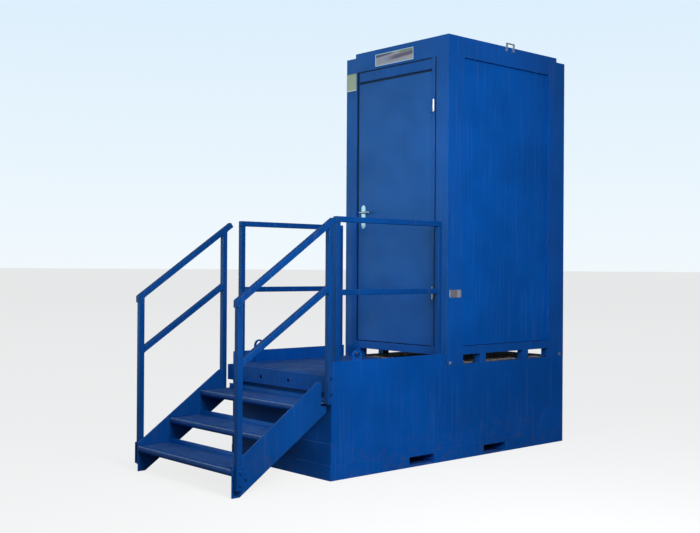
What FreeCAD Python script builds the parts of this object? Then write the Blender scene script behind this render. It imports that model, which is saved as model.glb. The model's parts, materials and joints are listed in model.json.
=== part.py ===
"""Emergency safety shower: a one-person shower cabin on a waste-water tank with a stair and rails.

Units are millimetres. +X is the right-hand side of someone who faces the door, +Y runs from the
stair to the back of the cabin and +Z is up. The origin is the centre of the tank's underside, on
the ground. Each sub-part is written to parts/NAME.step.
"""
import FreeCAD, Part
import math
import os

Vector = FreeCAD.Vector
X_AXIS = Vector(1, 0, 0)
Y_AXIS = Vector(0, 1, 0)
Z_AXIS = Vector(0, 0, 1)
LEFT = -1
RIGHT = 1
SIDES = {"left": LEFT, "right": RIGHT}

# ---- driving dimensions -------------------------------------------------------------------------
unit_width = 1170.0
tank_length = 2620.0
tank_height = 730.0
cabin_depth = 1460.0
cabin_height = 2540.0
sheet = 5.0                # tank plate thickness

base_height = 105.0        # rail band under the tank floor
base_rail_width = 60.0
base_band_proud = 8.0      # the band stands this far in front of the tank's front plate
fork_spacing = 832.0       # centre to centre of the two fork tunnels
fork_width = 264.0
fork_floor = 8.0
fork_roof = 75.0

kick_top = 822.0           # side walls rise above the deck as kick plates
kick_gap = 20.0            # from the end of a kick plate to the cabin
deck_thickness = 6.0
seat_ring_width = 75.0     # flat rim that the cabin stands on
seat_thickness = 8.0

beam_depth = 50.0          # top step beam across the front of the tank
beam_bottom = 611.0
beam_top = 727.0
beam_hole_spacing = 326.0
beam_hole_height = 664.0
beam_hole_radius = 13.0

tread_rise = 182.0
tread_going = 264.0
tread_depth = 270.0
tread_nosing = 40.0
tread_rear_lip = 35.0
tread_sheet = 4.0
stair_length = 832.0       # from the tank's front plate to the toe of the stringers
stringer_thickness = 8.0

tube = 40.0                # square tube of every rail and post
tube_wall = 3.0
rail_height = 1100.0       # top of the platform rail above the deck
mid_rail_height = 570.0

cabin_rail_width = 60.0    # floor and roof rails
post_front_leg = 125.0     # corner post, leg along the front or the rear
post_leg_thickness = 50.0
frame_wall = 3.0
foot_height = 75.0
floor_rail_height = 61.0
roof_rail_height = 157.0
head_block = 110.0
low_head_step = 35.0
panel_thickness = 40.0
panel_skin = 1.5
panel_recess = 10.0        # rear wall panel behind the corner posts
side_panel_recess = 18.0

leaf_thickness = 45.0
leaf_recess = 4.0
leaf_gap = 4.0
jamb_recess = 18.0         # grooves beside the corner posts
head_recess = 10.0
lever_height = 1933.0
hinge_length = 100.0
hinge_radius = 8.0
pin_radius = 4.0
pin_clearance = 0.05
moving_gap = 0.4           # space between pieces that move against each other

pipe_radius = 21.2
pipe_bore = 18.0
pipe_bend = 60.0

# ---- derived positions --------------------------------------------------------------------------
half_width = unit_width / 2
tank_front = -tank_length / 2
tank_rear = tank_length / 2
cabin_front = tank_rear - cabin_depth
cabin_rear = tank_rear
cabin_base = tank_height
cabin_top = cabin_base + cabin_height
floor_rail_bottom = cabin_base + foot_height
floor_rail_top = floor_rail_bottom + floor_rail_height
roof_rail_bottom = cabin_top - roof_rail_height
wall_inner = half_width - side_panel_recess - panel_thickness
rear_inner = cabin_rear - panel_recess - panel_thickness
jamb_back = cabin_front + 80.0
front_post_leg = 185.0     # front corner post, leg along the side
rear_post_leg = 213.0
opening_half = half_width - post_front_leg


# ---- helpers ------------------------------------------------------------------------------------
def block(x, y, z):
    """Box from three (low, high) pairs, given in either order."""
    (x0, x1), (y0, y1), (z0, z1) = sorted(x), sorted(y), sorted(z)
    return Part.makeBox(x1 - x0, y1 - y0, z1 - z0, Vector(x0, y0, z0))


def rod(start, axis, radius, length):
    return Part.makeCylinder(radius, length, Vector(*start), axis)


def side_plate(outline, x0, x1):
    """Flat plate with an outline of (y, z) points, between two x values."""
    points = [Vector(min(x0, x1), y, z) for y, z in outline]
    face = Part.Face(Part.makePolygon(points + points[:1]))
    return face.extrude(X_AXIS * abs(x1 - x0))


def box_tube(x, y, z, wall):
    """Closed box section with the given wall."""
    spans = [tuple(sorted(span)) for span in (x, y, z)]
    inside = [(low + wall, high - wall) for low, high in spans]
    return block(*spans).cut(block(*inside))


def join(shapes):
    whole = shapes[0]
    for shape in shapes[1:]:
        whole = whole.fuse(shape)
    return whole.removeSplitter()


def group(shapes):
    """Separate solids kept in one node."""
    return Part.Compound(shapes)


def mirrored(shape):
    return shape.mirror(Vector(0, 0, 0), X_AXIS)


def save(name, shape):
    shape.exportStep("parts/" + name + ".step")


# ---- tank ---------------------------------------------------------------------------------------
def fork_outline(wall):
    """(y half width, bottom, top) of a fork tunnel, grown by a wall."""
    return fork_width / 2 + wall, fork_floor - wall, fork_roof + wall


def fork_tunnel(side):
    """Rectangular tube right across the tank, open at both ends."""
    centre = side * fork_spacing / 2
    half_out, bottom_out, top_out = fork_outline(fork_floor)
    half_in, bottom_in, top_in = fork_outline(0)
    outer = block((-half_width, half_width), (centre - half_out, centre + half_out), (bottom_out, top_out))
    inner = block((-half_width, half_width), (centre - half_in, centre + half_in), (bottom_in, top_in))
    return outer.cut(inner)


def base_frame():
    """Box-section ring under the tank floor with a cross member, cut away for the fork tunnels."""
    ring = block((-half_width, half_width), (tank_front, tank_rear), (0, base_height))
    inset = base_rail_width
    ring = ring.cut(block((-half_width + inset, half_width - inset),
                          (tank_front + inset, tank_rear - inset), (0, base_height)))
    band = block((-half_width, half_width), (tank_front - base_band_proud, tank_front), (0, base_height))
    frame = join([ring, band])
    for side in (-1, 1):
        centre = side * fork_spacing / 2
        half_out, bottom_out, top_out = fork_outline(fork_floor)
        frame = frame.cut(block((-half_width, half_width),
                                (centre - half_out, centre + half_out), (bottom_out, top_out)))
    cavity_low = sheet
    cavity_high = base_height - sheet
    clear_of_tunnel = fork_spacing / 2 + fork_width / 2 + fork_floor + sheet
    between_tunnels = fork_spacing / 2 - fork_width / 2 - fork_floor - sheet
    for side in (LEFT, RIGHT):
        across = (side * (half_width - sheet), side * (half_width - base_rail_width + sheet))
        frame = frame.cut(block(across, (-between_tunnels, between_tunnels), (cavity_low, cavity_high)))
        for end in (-1, 1):
            along = (end * clear_of_tunnel, end * (tank_length / 2 - sheet))
            frame = frame.cut(block(across, along, (cavity_low, cavity_high)))
    inner_half = half_width - base_rail_width
    for end in (-1, 1):
        along = (end * (tank_length / 2 - sheet), end * (tank_length / 2 - base_rail_width + sheet))
        frame = frame.cut(block((-inner_half, inner_half), along, (cavity_low, cavity_high)))
    cross_half = base_rail_width / 2
    member = box_tube((-inner_half, inner_half), (-cross_half, cross_half), (0, base_height), sheet)
    return group([frame, member])


def tank_side(side):
    """Side plate with the kick plate beside the deck in the same sheet."""
    kick_end = cabin_front - kick_gap
    outline = [(tank_front, base_height), (tank_rear, base_height), (tank_rear, tank_height),
               (kick_end, tank_height), (kick_end, kick_top), (tank_front, kick_top)]
    return side_plate(outline, side * (half_width - sheet), side * half_width)


lap_top = 253.0


def tank_front_plate():
    """Front plate in two strakes, the lower one lapped over the upper one."""
    upper = block((-half_width + sheet, half_width - sheet), (tank_front, tank_front + sheet),
                  (base_height, tank_height - deck_thickness))
    lower = block((-half_width, half_width), (tank_front - sheet, tank_front), (base_height, lap_top))
    return join([upper, lower])


drain_x = -350.0
drain_z = 190.0
drain_radius = 38.0
drain_bore = 30.0
through = 5.0              # a cut runs this far past the face it leaves


def tank_rear_plate():
    plate = block((-half_width + sheet, half_width - sheet), (tank_rear - sheet, tank_rear),
                  (base_height, tank_height - seat_thickness))
    return plate.cut(rod((drain_x, tank_rear - sheet - through, drain_z), Y_AXIS, drain_bore,
                         sheet + 2 * through))


def tank_floor():
    return block((-half_width + sheet, half_width - sheet), (tank_front + sheet, tank_rear - sheet),
                 (base_height, base_height + sheet))


def deck_plate():
    return block((-half_width + sheet, half_width - sheet), (tank_front, cabin_front),
                 (tank_height - deck_thickness, tank_height))


shower_y = 560.0           # the shower head and the floor drain share this station
drain_pipe_radius = 30.0


def tank_top():
    """Plate that closes the tank under the cabin, one seat thickness below the cabin's seat."""
    top = tank_height - seat_thickness
    plate = block((-half_width + sheet, half_width - sheet), (cabin_front, tank_rear - sheet),
                  (top - sheet, top))
    return plate.cut(rod((0, shower_y, top - 2 * sheet), Z_AXIS, drain_pipe_radius, 4 * sheet))


def cabin_seat():
    """Flat rim on the tank that carries the cabin's feet."""
    outer = block((-half_width + sheet, half_width - sheet), (cabin_front, tank_rear),
                  (tank_height - seat_thickness, tank_height))
    inner = block((-half_width + seat_ring_width, half_width - seat_ring_width),
                  (cabin_front + seat_ring_width, tank_rear - seat_ring_width),
                  (tank_height - seat_thickness, tank_height))
    return outer.cut(inner)


lug_y = tank_front + 240.0
lug_thickness = 12.0
lug_radius = 46.0
lug_hole_radius = 27.0
lug_hole_below_top = 40.0
lug_tops = {LEFT: 905.0, RIGHT: 894.0}


def lifting_lug(side):
    """Plate with a rounded top and a shackle hole, inside the kick plate."""
    x0 = side * (half_width - sheet - lug_thickness)
    x1 = side * (half_width - sheet)
    low_x = min(x0, x1)
    round_centre = lug_tops[side] - lug_radius
    foot = block((x0, x1), (lug_y - lug_radius, lug_y + lug_radius), (tank_height, round_centre))
    head = rod((low_x, lug_y, round_centre), X_AXIS, lug_radius, lug_thickness)
    hole = rod((low_x - through, lug_y, lug_tops[side] - lug_hole_below_top), X_AXIS, lug_hole_radius,
               lug_thickness + 2 * through)
    return join([foot, head]).cut(hole)


def front_step_beam():
    """Channel across the front of the tank: top step, with two round holes in its face."""
    back = tank_front
    front = tank_front - beam_depth
    beam = block((-half_width, half_width), (front, back), (beam_bottom, beam_top))
    beam = beam.cut(block((-half_width + sheet, half_width - sheet), (front + sheet, back),
                          (beam_bottom + sheet, beam_top - sheet)))
    for side in (LEFT, RIGHT):
        beam = beam.cut(rod((side * beam_hole_spacing / 2, front - through, beam_hole_height), Y_AXIS,
                            beam_hole_radius, sheet + 2 * through))
    return beam


# ---- tank drain valve ---------------------------------------------------------------------------
drain_flange_radius = 60.0
drain_flange_thickness = 12.0
drain_body_radius = 44.0
drain_thread_length = 38.0
drain_neck_radius = 14.0
drain_neck_height = 62.0
drain_arm_length = 150.0
drain_arm_radius = 12.0
drain_arm_thickness = 6.0
valve_front = tank_rear + drain_flange_thickness
valve_length = 90.0
stem_radius = 7.0
stem_y = valve_front + valve_length / 2


def drain_valve_body():
    """Ball valve on a short flanged neck at the back of the tank, with a hose thread outside."""
    flange = rod((drain_x, tank_rear, drain_z), Y_AXIS, drain_flange_radius, drain_flange_thickness)
    body = rod((drain_x, valve_front, drain_z), Y_AXIS, drain_body_radius, valve_length)
    nose = rod((drain_x, valve_front + valve_length, drain_z), Y_AXIS, drain_radius, drain_thread_length)
    neck = rod((drain_x, stem_y, drain_z), Z_AXIS, drain_neck_radius, drain_neck_height)
    whole = join([flange, body, nose, neck])
    whole = whole.cut(rod((drain_x, tank_rear - through, drain_z), Y_AXIS, drain_bore,
                          drain_flange_thickness + valve_length + drain_thread_length + 2 * through))
    return whole.cut(rod((drain_x, stem_y, drain_z + drain_radius), Z_AXIS,
                         stem_radius + pin_clearance, drain_neck_height))


def drain_valve_handle():
    """Lever handle with its stem; it lies across the pipe when the valve is shut."""
    hub_height = 9.0
    hub_bottom = drain_z + drain_neck_height + moving_gap
    stem_bottom = drain_z + drain_radius + 2
    arm_bottom = hub_bottom + 2
    arm_end = drain_x + drain_arm_length
    stem = rod((drain_x, stem_y, stem_bottom), Z_AXIS, stem_radius, hub_bottom + hub_height - stem_bottom)
    hub = rod((drain_x, stem_y, hub_bottom), Z_AXIS, drain_neck_radius, hub_height)
    arm = block((drain_x, arm_end), (stem_y - drain_arm_radius, stem_y + drain_arm_radius),
                (arm_bottom, arm_bottom + drain_arm_thickness))
    grip = rod((arm_end, stem_y, arm_bottom), Z_AXIS, drain_arm_radius, drain_arm_thickness)
    return join([stem, hub, arm, grip])


# ---- stair --------------------------------------------------------------------------------------
stair_toe = tank_front - stair_length
toe_length = 60.0          # flat foot of the stringer on the ground
toe_height = 205.0
stringer_heel = (tank_front - 48, 480.0)
stringer_tongue_top = 522.0
stringer_head = (tank_front - 96, 690.0)
stringer_shoulder = tank_front - 135
stringer_back = (stair_toe + 89, 267.0)


def stringer(side):
    """Flat cheek plate with an upright toe and a tongue that reaches under the step beam."""
    heel_y, heel_z = stringer_heel
    head_y, head_z = stringer_head
    outline = [(stair_toe, 0), (stair_toe + toe_length, 0), (heel_y, heel_z), (heel_y, stringer_tongue_top),
               (head_y, stringer_tongue_top), (head_y, head_z), (stringer_shoulder, head_z), stringer_back,
               (stair_toe, toe_height)]
    return side_plate(outline, side * (half_width - stringer_thickness), side * half_width)


def tread(number):
    """Folded tread: turned-down nosing in front and a turned-up lip behind."""
    top = tread_rise * (number + 1)
    front = stair_toe + tread_going * number
    rear = front + tread_depth
    outline = [(front, top - tread_nosing), (front + tread_sheet, top - tread_nosing),
               (front + tread_sheet, top - tread_sheet), (rear, top - tread_sheet),
               (rear, top + tread_rear_lip), (rear - tread_sheet, top + tread_rear_lip),
               (rear - tread_sheet, top), (front, top)]
    half = half_width - stringer_thickness
    return side_plate(outline, -half, half)


# ---- rails --------------------------------------------------------------------------------------
def bar_outline(start, end, width):
    """(y, z) corners of a straight bar with square-cut ends."""
    (y0, z0), (y1, z1) = start, end
    run = math.hypot(y1 - y0, z1 - z0)
    ny = -(z1 - z0) / run * width / 2
    nz = (y1 - y0) / run * width / 2
    return [(y0 - ny, z0 - nz), (y1 - ny, z1 - nz), (y1 + ny, z1 + nz), (y0 + ny, z0 + nz)]


def shortened(start, end, trim):
    (y0, z0), (y1, z1) = start, end
    run = math.hypot(y1 - y0, z1 - z0)
    dy = (y1 - y0) / run * trim
    dz = (z1 - z0) / run * trim
    return (y0 + dy, z0 + dz), (y1 - dy, z1 - dz)


def tube_frame(bars, x0, x1):
    """Square tubes welded in one plane; each bar is a pair of (y, z) centre-line ends."""
    low, high = min(x0, x1), max(x0, x1)
    outer = join([side_plate(bar_outline(start, end, tube), low, high) for start, end in bars])
    for start, end in bars:
        inner_start, inner_end = shortened(start, end, tube_wall)
        inside = bar_outline(inner_start, inner_end, tube - 2 * tube_wall)
        outer = outer.cut(side_plate(inside, low + tube_wall, high - tube_wall))
    return outer


rail_top = tank_height + rail_height
lower_post_y = stair_toe + 32.0
upper_post_y = {LEFT: tank_front - 79.0, RIGHT: tank_front - 47.0}
lower_post_foot = 45.0
upper_post_foot = 536.0
stair_slope = tread_rise / tread_going
hand_rail_end_y = tank_front - 14.0
hand_rail_drop = 6.0       # the stair's hand rail ends this far below the platform rail's top
hand_rail_nose = 11.0      # the hand rail's upright low end stands this far in front of the post
# middle rail of the stair: (height at the lower post, height at the upper post)
middle_rail_ends = {LEFT: (860.0, 1335.0), RIGHT: (845.0, 1339.0)}
foot_pad_thickness = 8.0
foot_pad_half = 28.0
foot_pad_span = (52.0, 205.0)


def stair_handrail(side):
    """Two posts outside the stringer, a sloping hand rail and a flatter middle rail."""
    middle_low, middle_high = middle_rail_ends[side]
    upper_y = upper_post_y[side]
    half_slant = tube / 2 * math.hypot(1, stair_slope)
    top_end_z = rail_top - hand_rail_drop - half_slant

    def top_at(y):
        return top_end_z - stair_slope * (hand_rail_end_y - y)

    nose_y = lower_post_y - tube / 2 - hand_rail_nose
    start_y = nose_y - tube / 2
    bars = [((lower_post_y, lower_post_foot), (lower_post_y, top_at(lower_post_y))),
            ((upper_y, upper_post_foot), (upper_y, top_at(upper_y))),
            ((start_y, top_at(start_y)), (hand_rail_end_y, top_end_z)),
            ((lower_post_y, middle_low), (upper_y, middle_high))]
    inner = side * half_width
    outer = side * (half_width + tube)
    beyond_nose = block((inner, outer), (nose_y - tube, nose_y), (0, rail_top))
    rail = tube_frame(bars, inner, outer).cut(beyond_nose)
    nose_cap = block((inner, outer), (nose_y, nose_y + tube_wall),
                     (top_at(nose_y + tube_wall) - half_slant, top_at(nose_y) + half_slant))
    foot_pad = block((outer, outer + side * foot_pad_thickness),
                     (lower_post_y - foot_pad_half, lower_post_y + foot_pad_half), foot_pad_span)
    return join([rail, nose_cap, foot_pad])


platform_post_front = tank_front + 60.0
platform_post_rear = {LEFT: tank_front + 1070.0, RIGHT: tank_front + 1086.0}


def platform_rail(side):
    """Two posts inside the kick plate with a top rail and a middle rail."""
    top = rail_top - tube / 2
    middle = tank_height + mid_rail_height
    rear = platform_post_rear[side]
    bars = [((platform_post_front, tank_height), (platform_post_front, rail_top)),
            ((rear, tank_height), (rear, rail_top)),
            ((platform_post_front - tube / 2, top), (rear + tube / 2, top)),
            ((platform_post_front, middle), (rear, middle))]
    outer = side * (half_width - sheet)
    return tube_frame(bars, outer - side * tube, outer)


washer_height = 2.0
washer_rim = 3.0
small_bolt = (17.0, 7.0)   # (across flats, head height)
large_bolt = (19.0, 8.0)
rear_bolt = (22.0, 16.0)


def hex_bolt(centre, direction, size):
    """Hexagonal head on a round washer, seated at centre."""
    flats, height = size
    corner = flats / math.sqrt(3)
    washer = Part.makeCylinder(corner + washer_rim, washer_height, centre, direction)
    start = Vector(centre).add(Vector(direction).multiply(washer_height))
    corners = [Vector(corner * math.cos(math.radians(a)), corner * math.sin(math.radians(a)), 0)
               for a in range(0, 360, 60)]
    head = Part.Face(Part.makePolygon(corners + corners[:1])).extrude(Vector(0, 0, height))
    head.Placement = FreeCAD.Placement(start, FreeCAD.Rotation(Z_AXIS, direction))
    return join([washer, head])


upper_bolt_heights = (607.0, 716.0)
foot_bolt_heights = (90.0, 170.0)
upper_bolt_offset = 8.0     # from the upper post's centre line towards the tank
tread_bolt_y = stair_toe + 107.0
tread_bolt_height = 113.0


def frame_bolts():
    """Bolts of the handrails and of the lowest tread, on the outer faces."""
    bolts = []
    for side in (LEFT, RIGHT):
        outward = Vector(side, 0, 0)
        post_face = side * (half_width + tube)
        pad_face = post_face + side * foot_pad_thickness
        upper_bolt_y = upper_post_y[side] + upper_bolt_offset
        for z in upper_bolt_heights:
            bolts.append(hex_bolt(Vector(post_face, upper_bolt_y, z), outward, large_bolt))
        for z in foot_bolt_heights:
            bolts.append(hex_bolt(Vector(pad_face, lower_post_y, z), outward, large_bolt))
        tread_bolt = Vector(side * half_width, tread_bolt_y, tread_bolt_height)
        bolts.append(hex_bolt(tread_bolt, outward, small_bolt))
    return group(bolts)


# ---- cabin frame --------------------------------------------------------------------------------
def post_section(leg_along_side, end):
    """L-shaped column of a corner post on the right side; end is -1 at the front and 1 at the rear."""
    face = cabin_front if end < 0 else cabin_rear
    inward = -end
    low, high = floor_rail_bottom, roof_rail_bottom

    def legs(inset):
        across = block((half_width - inset, half_width - post_front_leg + inset),
                       (face + inward * inset, face + inward * (post_leg_thickness - inset)),
                       (low + inset, high - inset))
        along = block((half_width - inset, half_width - post_leg_thickness + inset),
                      (face + inward * inset, face + inward * (leg_along_side - inset)),
                      (low + inset, high - inset))
        return join([across, along])

    return legs(0).cut(legs(frame_wall))


foot_depth = 70.0
foot_width = 177.0         # foot of a corner post, along the front or the rear
foot_setback = 2.0         # the foot is this much shorter than the post's side leg
foot_round = 12.0


def corner_foot(face, inward, leg):
    """L-shaped foot with the lower edges of its two ends rounded."""
    end_x = half_width - foot_width
    end_y = face + inward * (leg - foot_setback)
    foot = join([
        block((half_width, end_x), (face, face + inward * foot_depth), (cabin_base, floor_rail_bottom)),
        block((half_width, half_width - foot_depth), (face, end_y), (cabin_base, floor_rail_bottom))])
    low_edges = [edge for edge in foot.Edges
                 if edge.BoundBox.ZMax < cabin_base + 1
                 and (edge.BoundBox.XMax < end_x + 1 or abs(edge.BoundBox.Center.y - end_y) < 1)]
    return foot.makeFillet(foot_round, low_edges)


def corner_post(side, end, head_top):
    """Corner post with its foot below and its head block above."""
    face = cabin_front if end < 0 else cabin_rear
    inward = -end
    leg = front_post_leg if end < 0 else rear_post_leg
    foot = corner_foot(face, inward, leg)
    head = block((half_width, half_width - head_block), (face, face + inward * head_block),
                 (roof_rail_bottom, head_top))
    post = join([post_section(leg, end), foot, head])
    return post if side > 0 else mirrored(post)


side_foot_stations = (270.0, 802.0)
side_foot_length = 68.0


def floor_rails():
    """Perimeter rails between the corner posts, two cross members and the short feet below them."""
    z = (floor_rail_bottom, floor_rail_top)
    side_span = (cabin_front + front_post_leg, cabin_rear - rear_post_leg)
    reach = half_width - cabin_rail_width
    pieces = [box_tube((-opening_half, opening_half), (cabin_front, cabin_front + cabin_rail_width), z,
                       frame_wall),
              box_tube((-opening_half, opening_half), (cabin_rear - cabin_rail_width, cabin_rear), z,
                       frame_wall)]
    for y in side_foot_stations:
        pieces.append(box_tube((-reach, reach), (y - cabin_rail_width / 2, y + cabin_rail_width / 2), z,
                               frame_wall))
    for side in (LEFT, RIGHT):
        across = (side * half_width, side * reach)
        rail = box_tube(across, side_span, z, frame_wall)
        feet = [block(across, (y - side_foot_length / 2, y + side_foot_length / 2),
                      (cabin_base, floor_rail_bottom)) for y in side_foot_stations]
        pieces.append(join([rail] + feet))
    return group(pieces)


def roof_rails():
    """Four deep box rails between the head blocks."""
    z = (roof_rail_bottom, cabin_top)
    reach = half_width - head_block
    rails = [box_tube((-reach, reach), (cabin_front, cabin_front + cabin_rail_width), z, frame_wall),
             box_tube((-reach, reach), (cabin_rear - cabin_rail_width, cabin_rear), z, frame_wall)]
    for side in (LEFT, RIGHT):
        rails.append(box_tube((side * half_width, side * (half_width - cabin_rail_width)),
                              (cabin_front + head_block, cabin_rear - head_block), z, frame_wall))
    return group(rails)


def roof_sheet():
    """Roof skin inside the rails, just under their top, notched around the head blocks."""
    thickness = 3.0
    z = (cabin_top - 45, cabin_top - 45 + thickness)
    reach = half_width - cabin_rail_width
    skin = block((-reach, reach), (cabin_front + cabin_rail_width, cabin_rear - cabin_rail_width), z)
    for side in (LEFT, RIGHT):
        for face, inward in ((cabin_front, 1), (cabin_rear, -1)):
            skin = skin.cut(block((side * half_width, side * (half_width - head_block)),
                                  (face, face + inward * head_block), z))
    return skin


def wall_panel_side(side):
    """Double-skinned panel that fills the side wall between the corner posts."""
    outer = side * (half_width - side_panel_recess)
    return box_tube((outer, outer - side * panel_thickness),
                    (cabin_front + front_post_leg, cabin_rear - rear_post_leg),
                    (floor_rail_top, roof_rail_bottom), panel_skin)


inlet_height = 1250.0


def wall_panel_rear():
    """Double-skinned panel of the rear wall, with the hole for the water inlet."""
    outer = cabin_rear - panel_recess
    panel = box_tube((-opening_half, opening_half), (outer - panel_thickness, outer),
                     (floor_rail_top, roof_rail_bottom), panel_skin)
    return panel.cut(rod((0, outer - panel_thickness - 5, inlet_height), Y_AXIS, pipe_radius,
                         panel_thickness + 10))


def ceiling_panel():
    return box_tube((-wall_inner, wall_inner), (jamb_back, rear_inner),
                    (roof_rail_bottom - panel_thickness, roof_rail_bottom), panel_skin)


tray_thickness = 40.0
tray_recess = 25.0
tray_rim = 35.0
drain_cup_radius = 45.0
tray_floor = floor_rail_top + tray_thickness - tray_recess


def floor_tray():
    """Moulded shower floor: raised rim and a sunk floor with the drain hole."""
    top = floor_rail_top + tray_thickness
    tray = block((-wall_inner, wall_inner), (jamb_back, rear_inner), (floor_rail_top, top))
    tray = tray.cut(block((-wall_inner + tray_rim, wall_inner - tray_rim),
                          (jamb_back + tray_rim, rear_inner - tray_rim), (tray_floor, top)))
    return tray.cut(rod((0, shower_y, floor_rail_top - 5), Z_AXIS, drain_cup_radius, 30))


def floor_drain():
    """Drain cup under a slotted grate, with its spigot down into the tank."""
    grate_radius = 58.0
    grate_thickness = 3.0
    cup_bottom = floor_rail_bottom + 20
    spigot_bottom = tank_height - 60.0
    wall = 3.0
    grate = rod((0, shower_y, tray_floor), Z_AXIS, grate_radius, grate_thickness)
    cup = rod((0, shower_y, cup_bottom), Z_AXIS, drain_cup_radius, tray_floor - cup_bottom)
    spigot = rod((0, shower_y, spigot_bottom), Z_AXIS, drain_pipe_radius, cup_bottom - spigot_bottom)
    room = rod((0, shower_y, cup_bottom + wall), Z_AXIS, drain_cup_radius - wall,
               tray_floor - cup_bottom - wall)
    way_out = rod((0, shower_y, spigot_bottom), Z_AXIS, drain_pipe_radius - wall,
                  cup_bottom + wall - spigot_bottom)
    drain = join([grate, cup, spigot]).cut(room).cut(way_out)
    for offset in (-24, -12, 0, 12, 24):
        half = math.sqrt((drain_cup_radius - 8) ** 2 - offset ** 2)
        drain = drain.cut(block((-half, half), (shower_y + offset - 3, shower_y + offset + 3),
                                (tray_floor, tray_floor + grate_thickness)))
    return drain


front_bolt_x = 435.0
front_bolt_height = 760.0
side_bolt_height = 748.0
side_bolt_insets = (35.0, 50.0)   # from the front and from the rear of the cabin
rear_bolt_x = 545.0
rear_bolt_height = 752.0


def hold_down_bolts():
    """Bolts of the cabin's feet: two on the front, four on the sides and two at the back."""
    bolts = []
    front_inset, rear_inset = side_bolt_insets
    for side in (LEFT, RIGHT):
        outward = Vector(side, 0, 0)
        bolts.append(hex_bolt(Vector(side * front_bolt_x, cabin_front, front_bolt_height), Vector(0, -1, 0),
                              small_bolt))
        for y in (cabin_front + front_inset, cabin_rear - rear_inset):
            bolts.append(hex_bolt(Vector(side * half_width, y, side_bolt_height), outward, small_bolt))
        bolts.append(hex_bolt(Vector(side * rear_bolt_x, cabin_rear, rear_bolt_height), Y_AXIS, rear_bolt))
    return group(bolts)


bracket_span = (528.0, 630.0)
bracket_strap = 8.0
bracket_leg_width = 15.0
bracket_bar_radius = 5.5
bracket_bar_height = cabin_top + 27.0
bracket_foot = cabin_top - 36.0


def roof_bracket():
    """Galvanised stirrup on the right roof edge."""
    y0, y1 = bracket_span
    half = bracket_leg_width / 2
    x = (half_width, half_width + bracket_strap)
    legs = [block(x, (y - half, y + half), (bracket_foot, bracket_bar_height))
            for y in (y0 + half, y1 - half)]
    bar = rod((half_width + bracket_strap / 2, y0, bracket_bar_height), Y_AXIS, bracket_bar_radius, y1 - y0)
    return join(legs + [bar])


name_plate_span = (-231.0, 207.0)
name_plate_heights = (3131.0, 3229.0)
name_plate_thickness = 3.0


def name_plate():
    return block(name_plate_span, (cabin_front - name_plate_thickness, cabin_front), name_plate_heights)


# ---- door ---------------------------------------------------------------------------------------
leaf_left = -435.0          # inner edges of the two jambs
leaf_right = 409.5
right_groove = 441.0       # the right jamb is set back between this and the corner post
frame_head = 3028.0
leaf_top = 3006.0
leaf_bottom = floor_rail_top + 6
leaf_front = cabin_front + leaf_recess
leaf_back = leaf_front + leaf_thickness
stop_depth = 15.0
head_stop_bottom = leaf_top - 11
frame_wall_thin = 2.5
seal_width = 11.0
seal_inset = 1.0
seal_depth = 3.4
stop_front = leaf_back + leaf_gap
lever_x = -370.0
latch_size = 30.0
latch_throw = 12.0
latch_front = leaf_front + 16.5
latch_thickness = 12.0


def door_frame():
    """Jambs and head around the leaf with a stop behind it, and a strike open at the front."""
    top = roof_rail_bottom
    bottom = floor_rail_top
    groove_y = cabin_front + jamb_recess
    head_y = cabin_front + head_recess
    stop_y = (stop_front, jamb_back)
    strike_x = leaf_left - latch_throw - 2
    frame = join([
        block((-opening_half, leaf_left), (groove_y, jamb_back), (bottom, top)),
        block((leaf_right, right_groove), (cabin_front, jamb_back), (bottom, top)),
        block((right_groove, opening_half), (groove_y, jamb_back), (bottom, top)),
        block((leaf_left, leaf_right), (head_y, jamb_back), (frame_head, top)),
        block((leaf_left, leaf_left + stop_depth), stop_y, (bottom, frame_head)),
        block((leaf_right - stop_depth, leaf_right), stop_y, (bottom, frame_head)),
        block((leaf_left, leaf_right), stop_y, (head_stop_bottom, frame_head))])
    wall = frame_wall_thin
    low, high = bottom + wall, top - wall
    cuts = [
        block((strike_x, leaf_left), (groove_y, latch_front + latch_thickness + 2),
              (lever_height - latch_size / 2 - 2, lever_height + latch_size / 2 + 2)),
        block((-opening_half + wall, strike_x - wall), (groove_y + wall, jamb_back - wall), (low, high)),
        block((leaf_right + wall, right_groove - wall), (cabin_front + wall, jamb_back - wall), (low, high)),
        block((right_groove - wall, opening_half - wall), (groove_y + wall, jamb_back - wall), (low, high)),
        block((leaf_left, leaf_right), (head_y + wall, jamb_back - wall), (frame_head + wall, high))]
    for cut in cuts:
        frame = frame.cut(cut)
    return frame


def door_seal():
    """Rubber strip on the stop, just clear of the shut leaf."""
    y = (stop_front - seal_depth, stop_front)
    left = leaf_left + seal_inset
    right = leaf_right - seal_inset
    top = head_stop_bottom + seal_width + seal_inset
    return join([block((left, left + seal_width), y, (floor_rail_top, top)),
                 block((right - seal_width, right), y, (floor_rail_top, top)),
                 block((left, right), y, (top - seal_width, top))])


plate_heights = (1800.0, 1995.0)   # long plate of the lever set, and the lock case behind it
case_length = 95.0
case_wall = 2.0
case_room = 3.0            # the case is this much deeper than the latch on each side
case_x = (leaf_left + leaf_gap, leaf_left + leaf_gap + case_length)
case_y = (latch_front - case_room, latch_front + latch_thickness + case_room)
spindle_hole = 10.0
latch_tail = 26.0
latch_bevel = (8.0, 3.0)   # along the door and across it


def door_leaf():
    """Leaf with the mortise for the lock case and the hole for the lever's spindle."""
    leaf = box_tube((leaf_left + leaf_gap, leaf_right - leaf_gap), (leaf_front, leaf_back),
                    (leaf_bottom, leaf_top), panel_skin)
    leaf = leaf.cut(block(case_x, case_y, plate_heights))
    return leaf.cut(rod((lever_x, leaf_front - through, lever_height), Y_AXIS, spindle_hole,
                        leaf_thickness + 2 * through))


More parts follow.
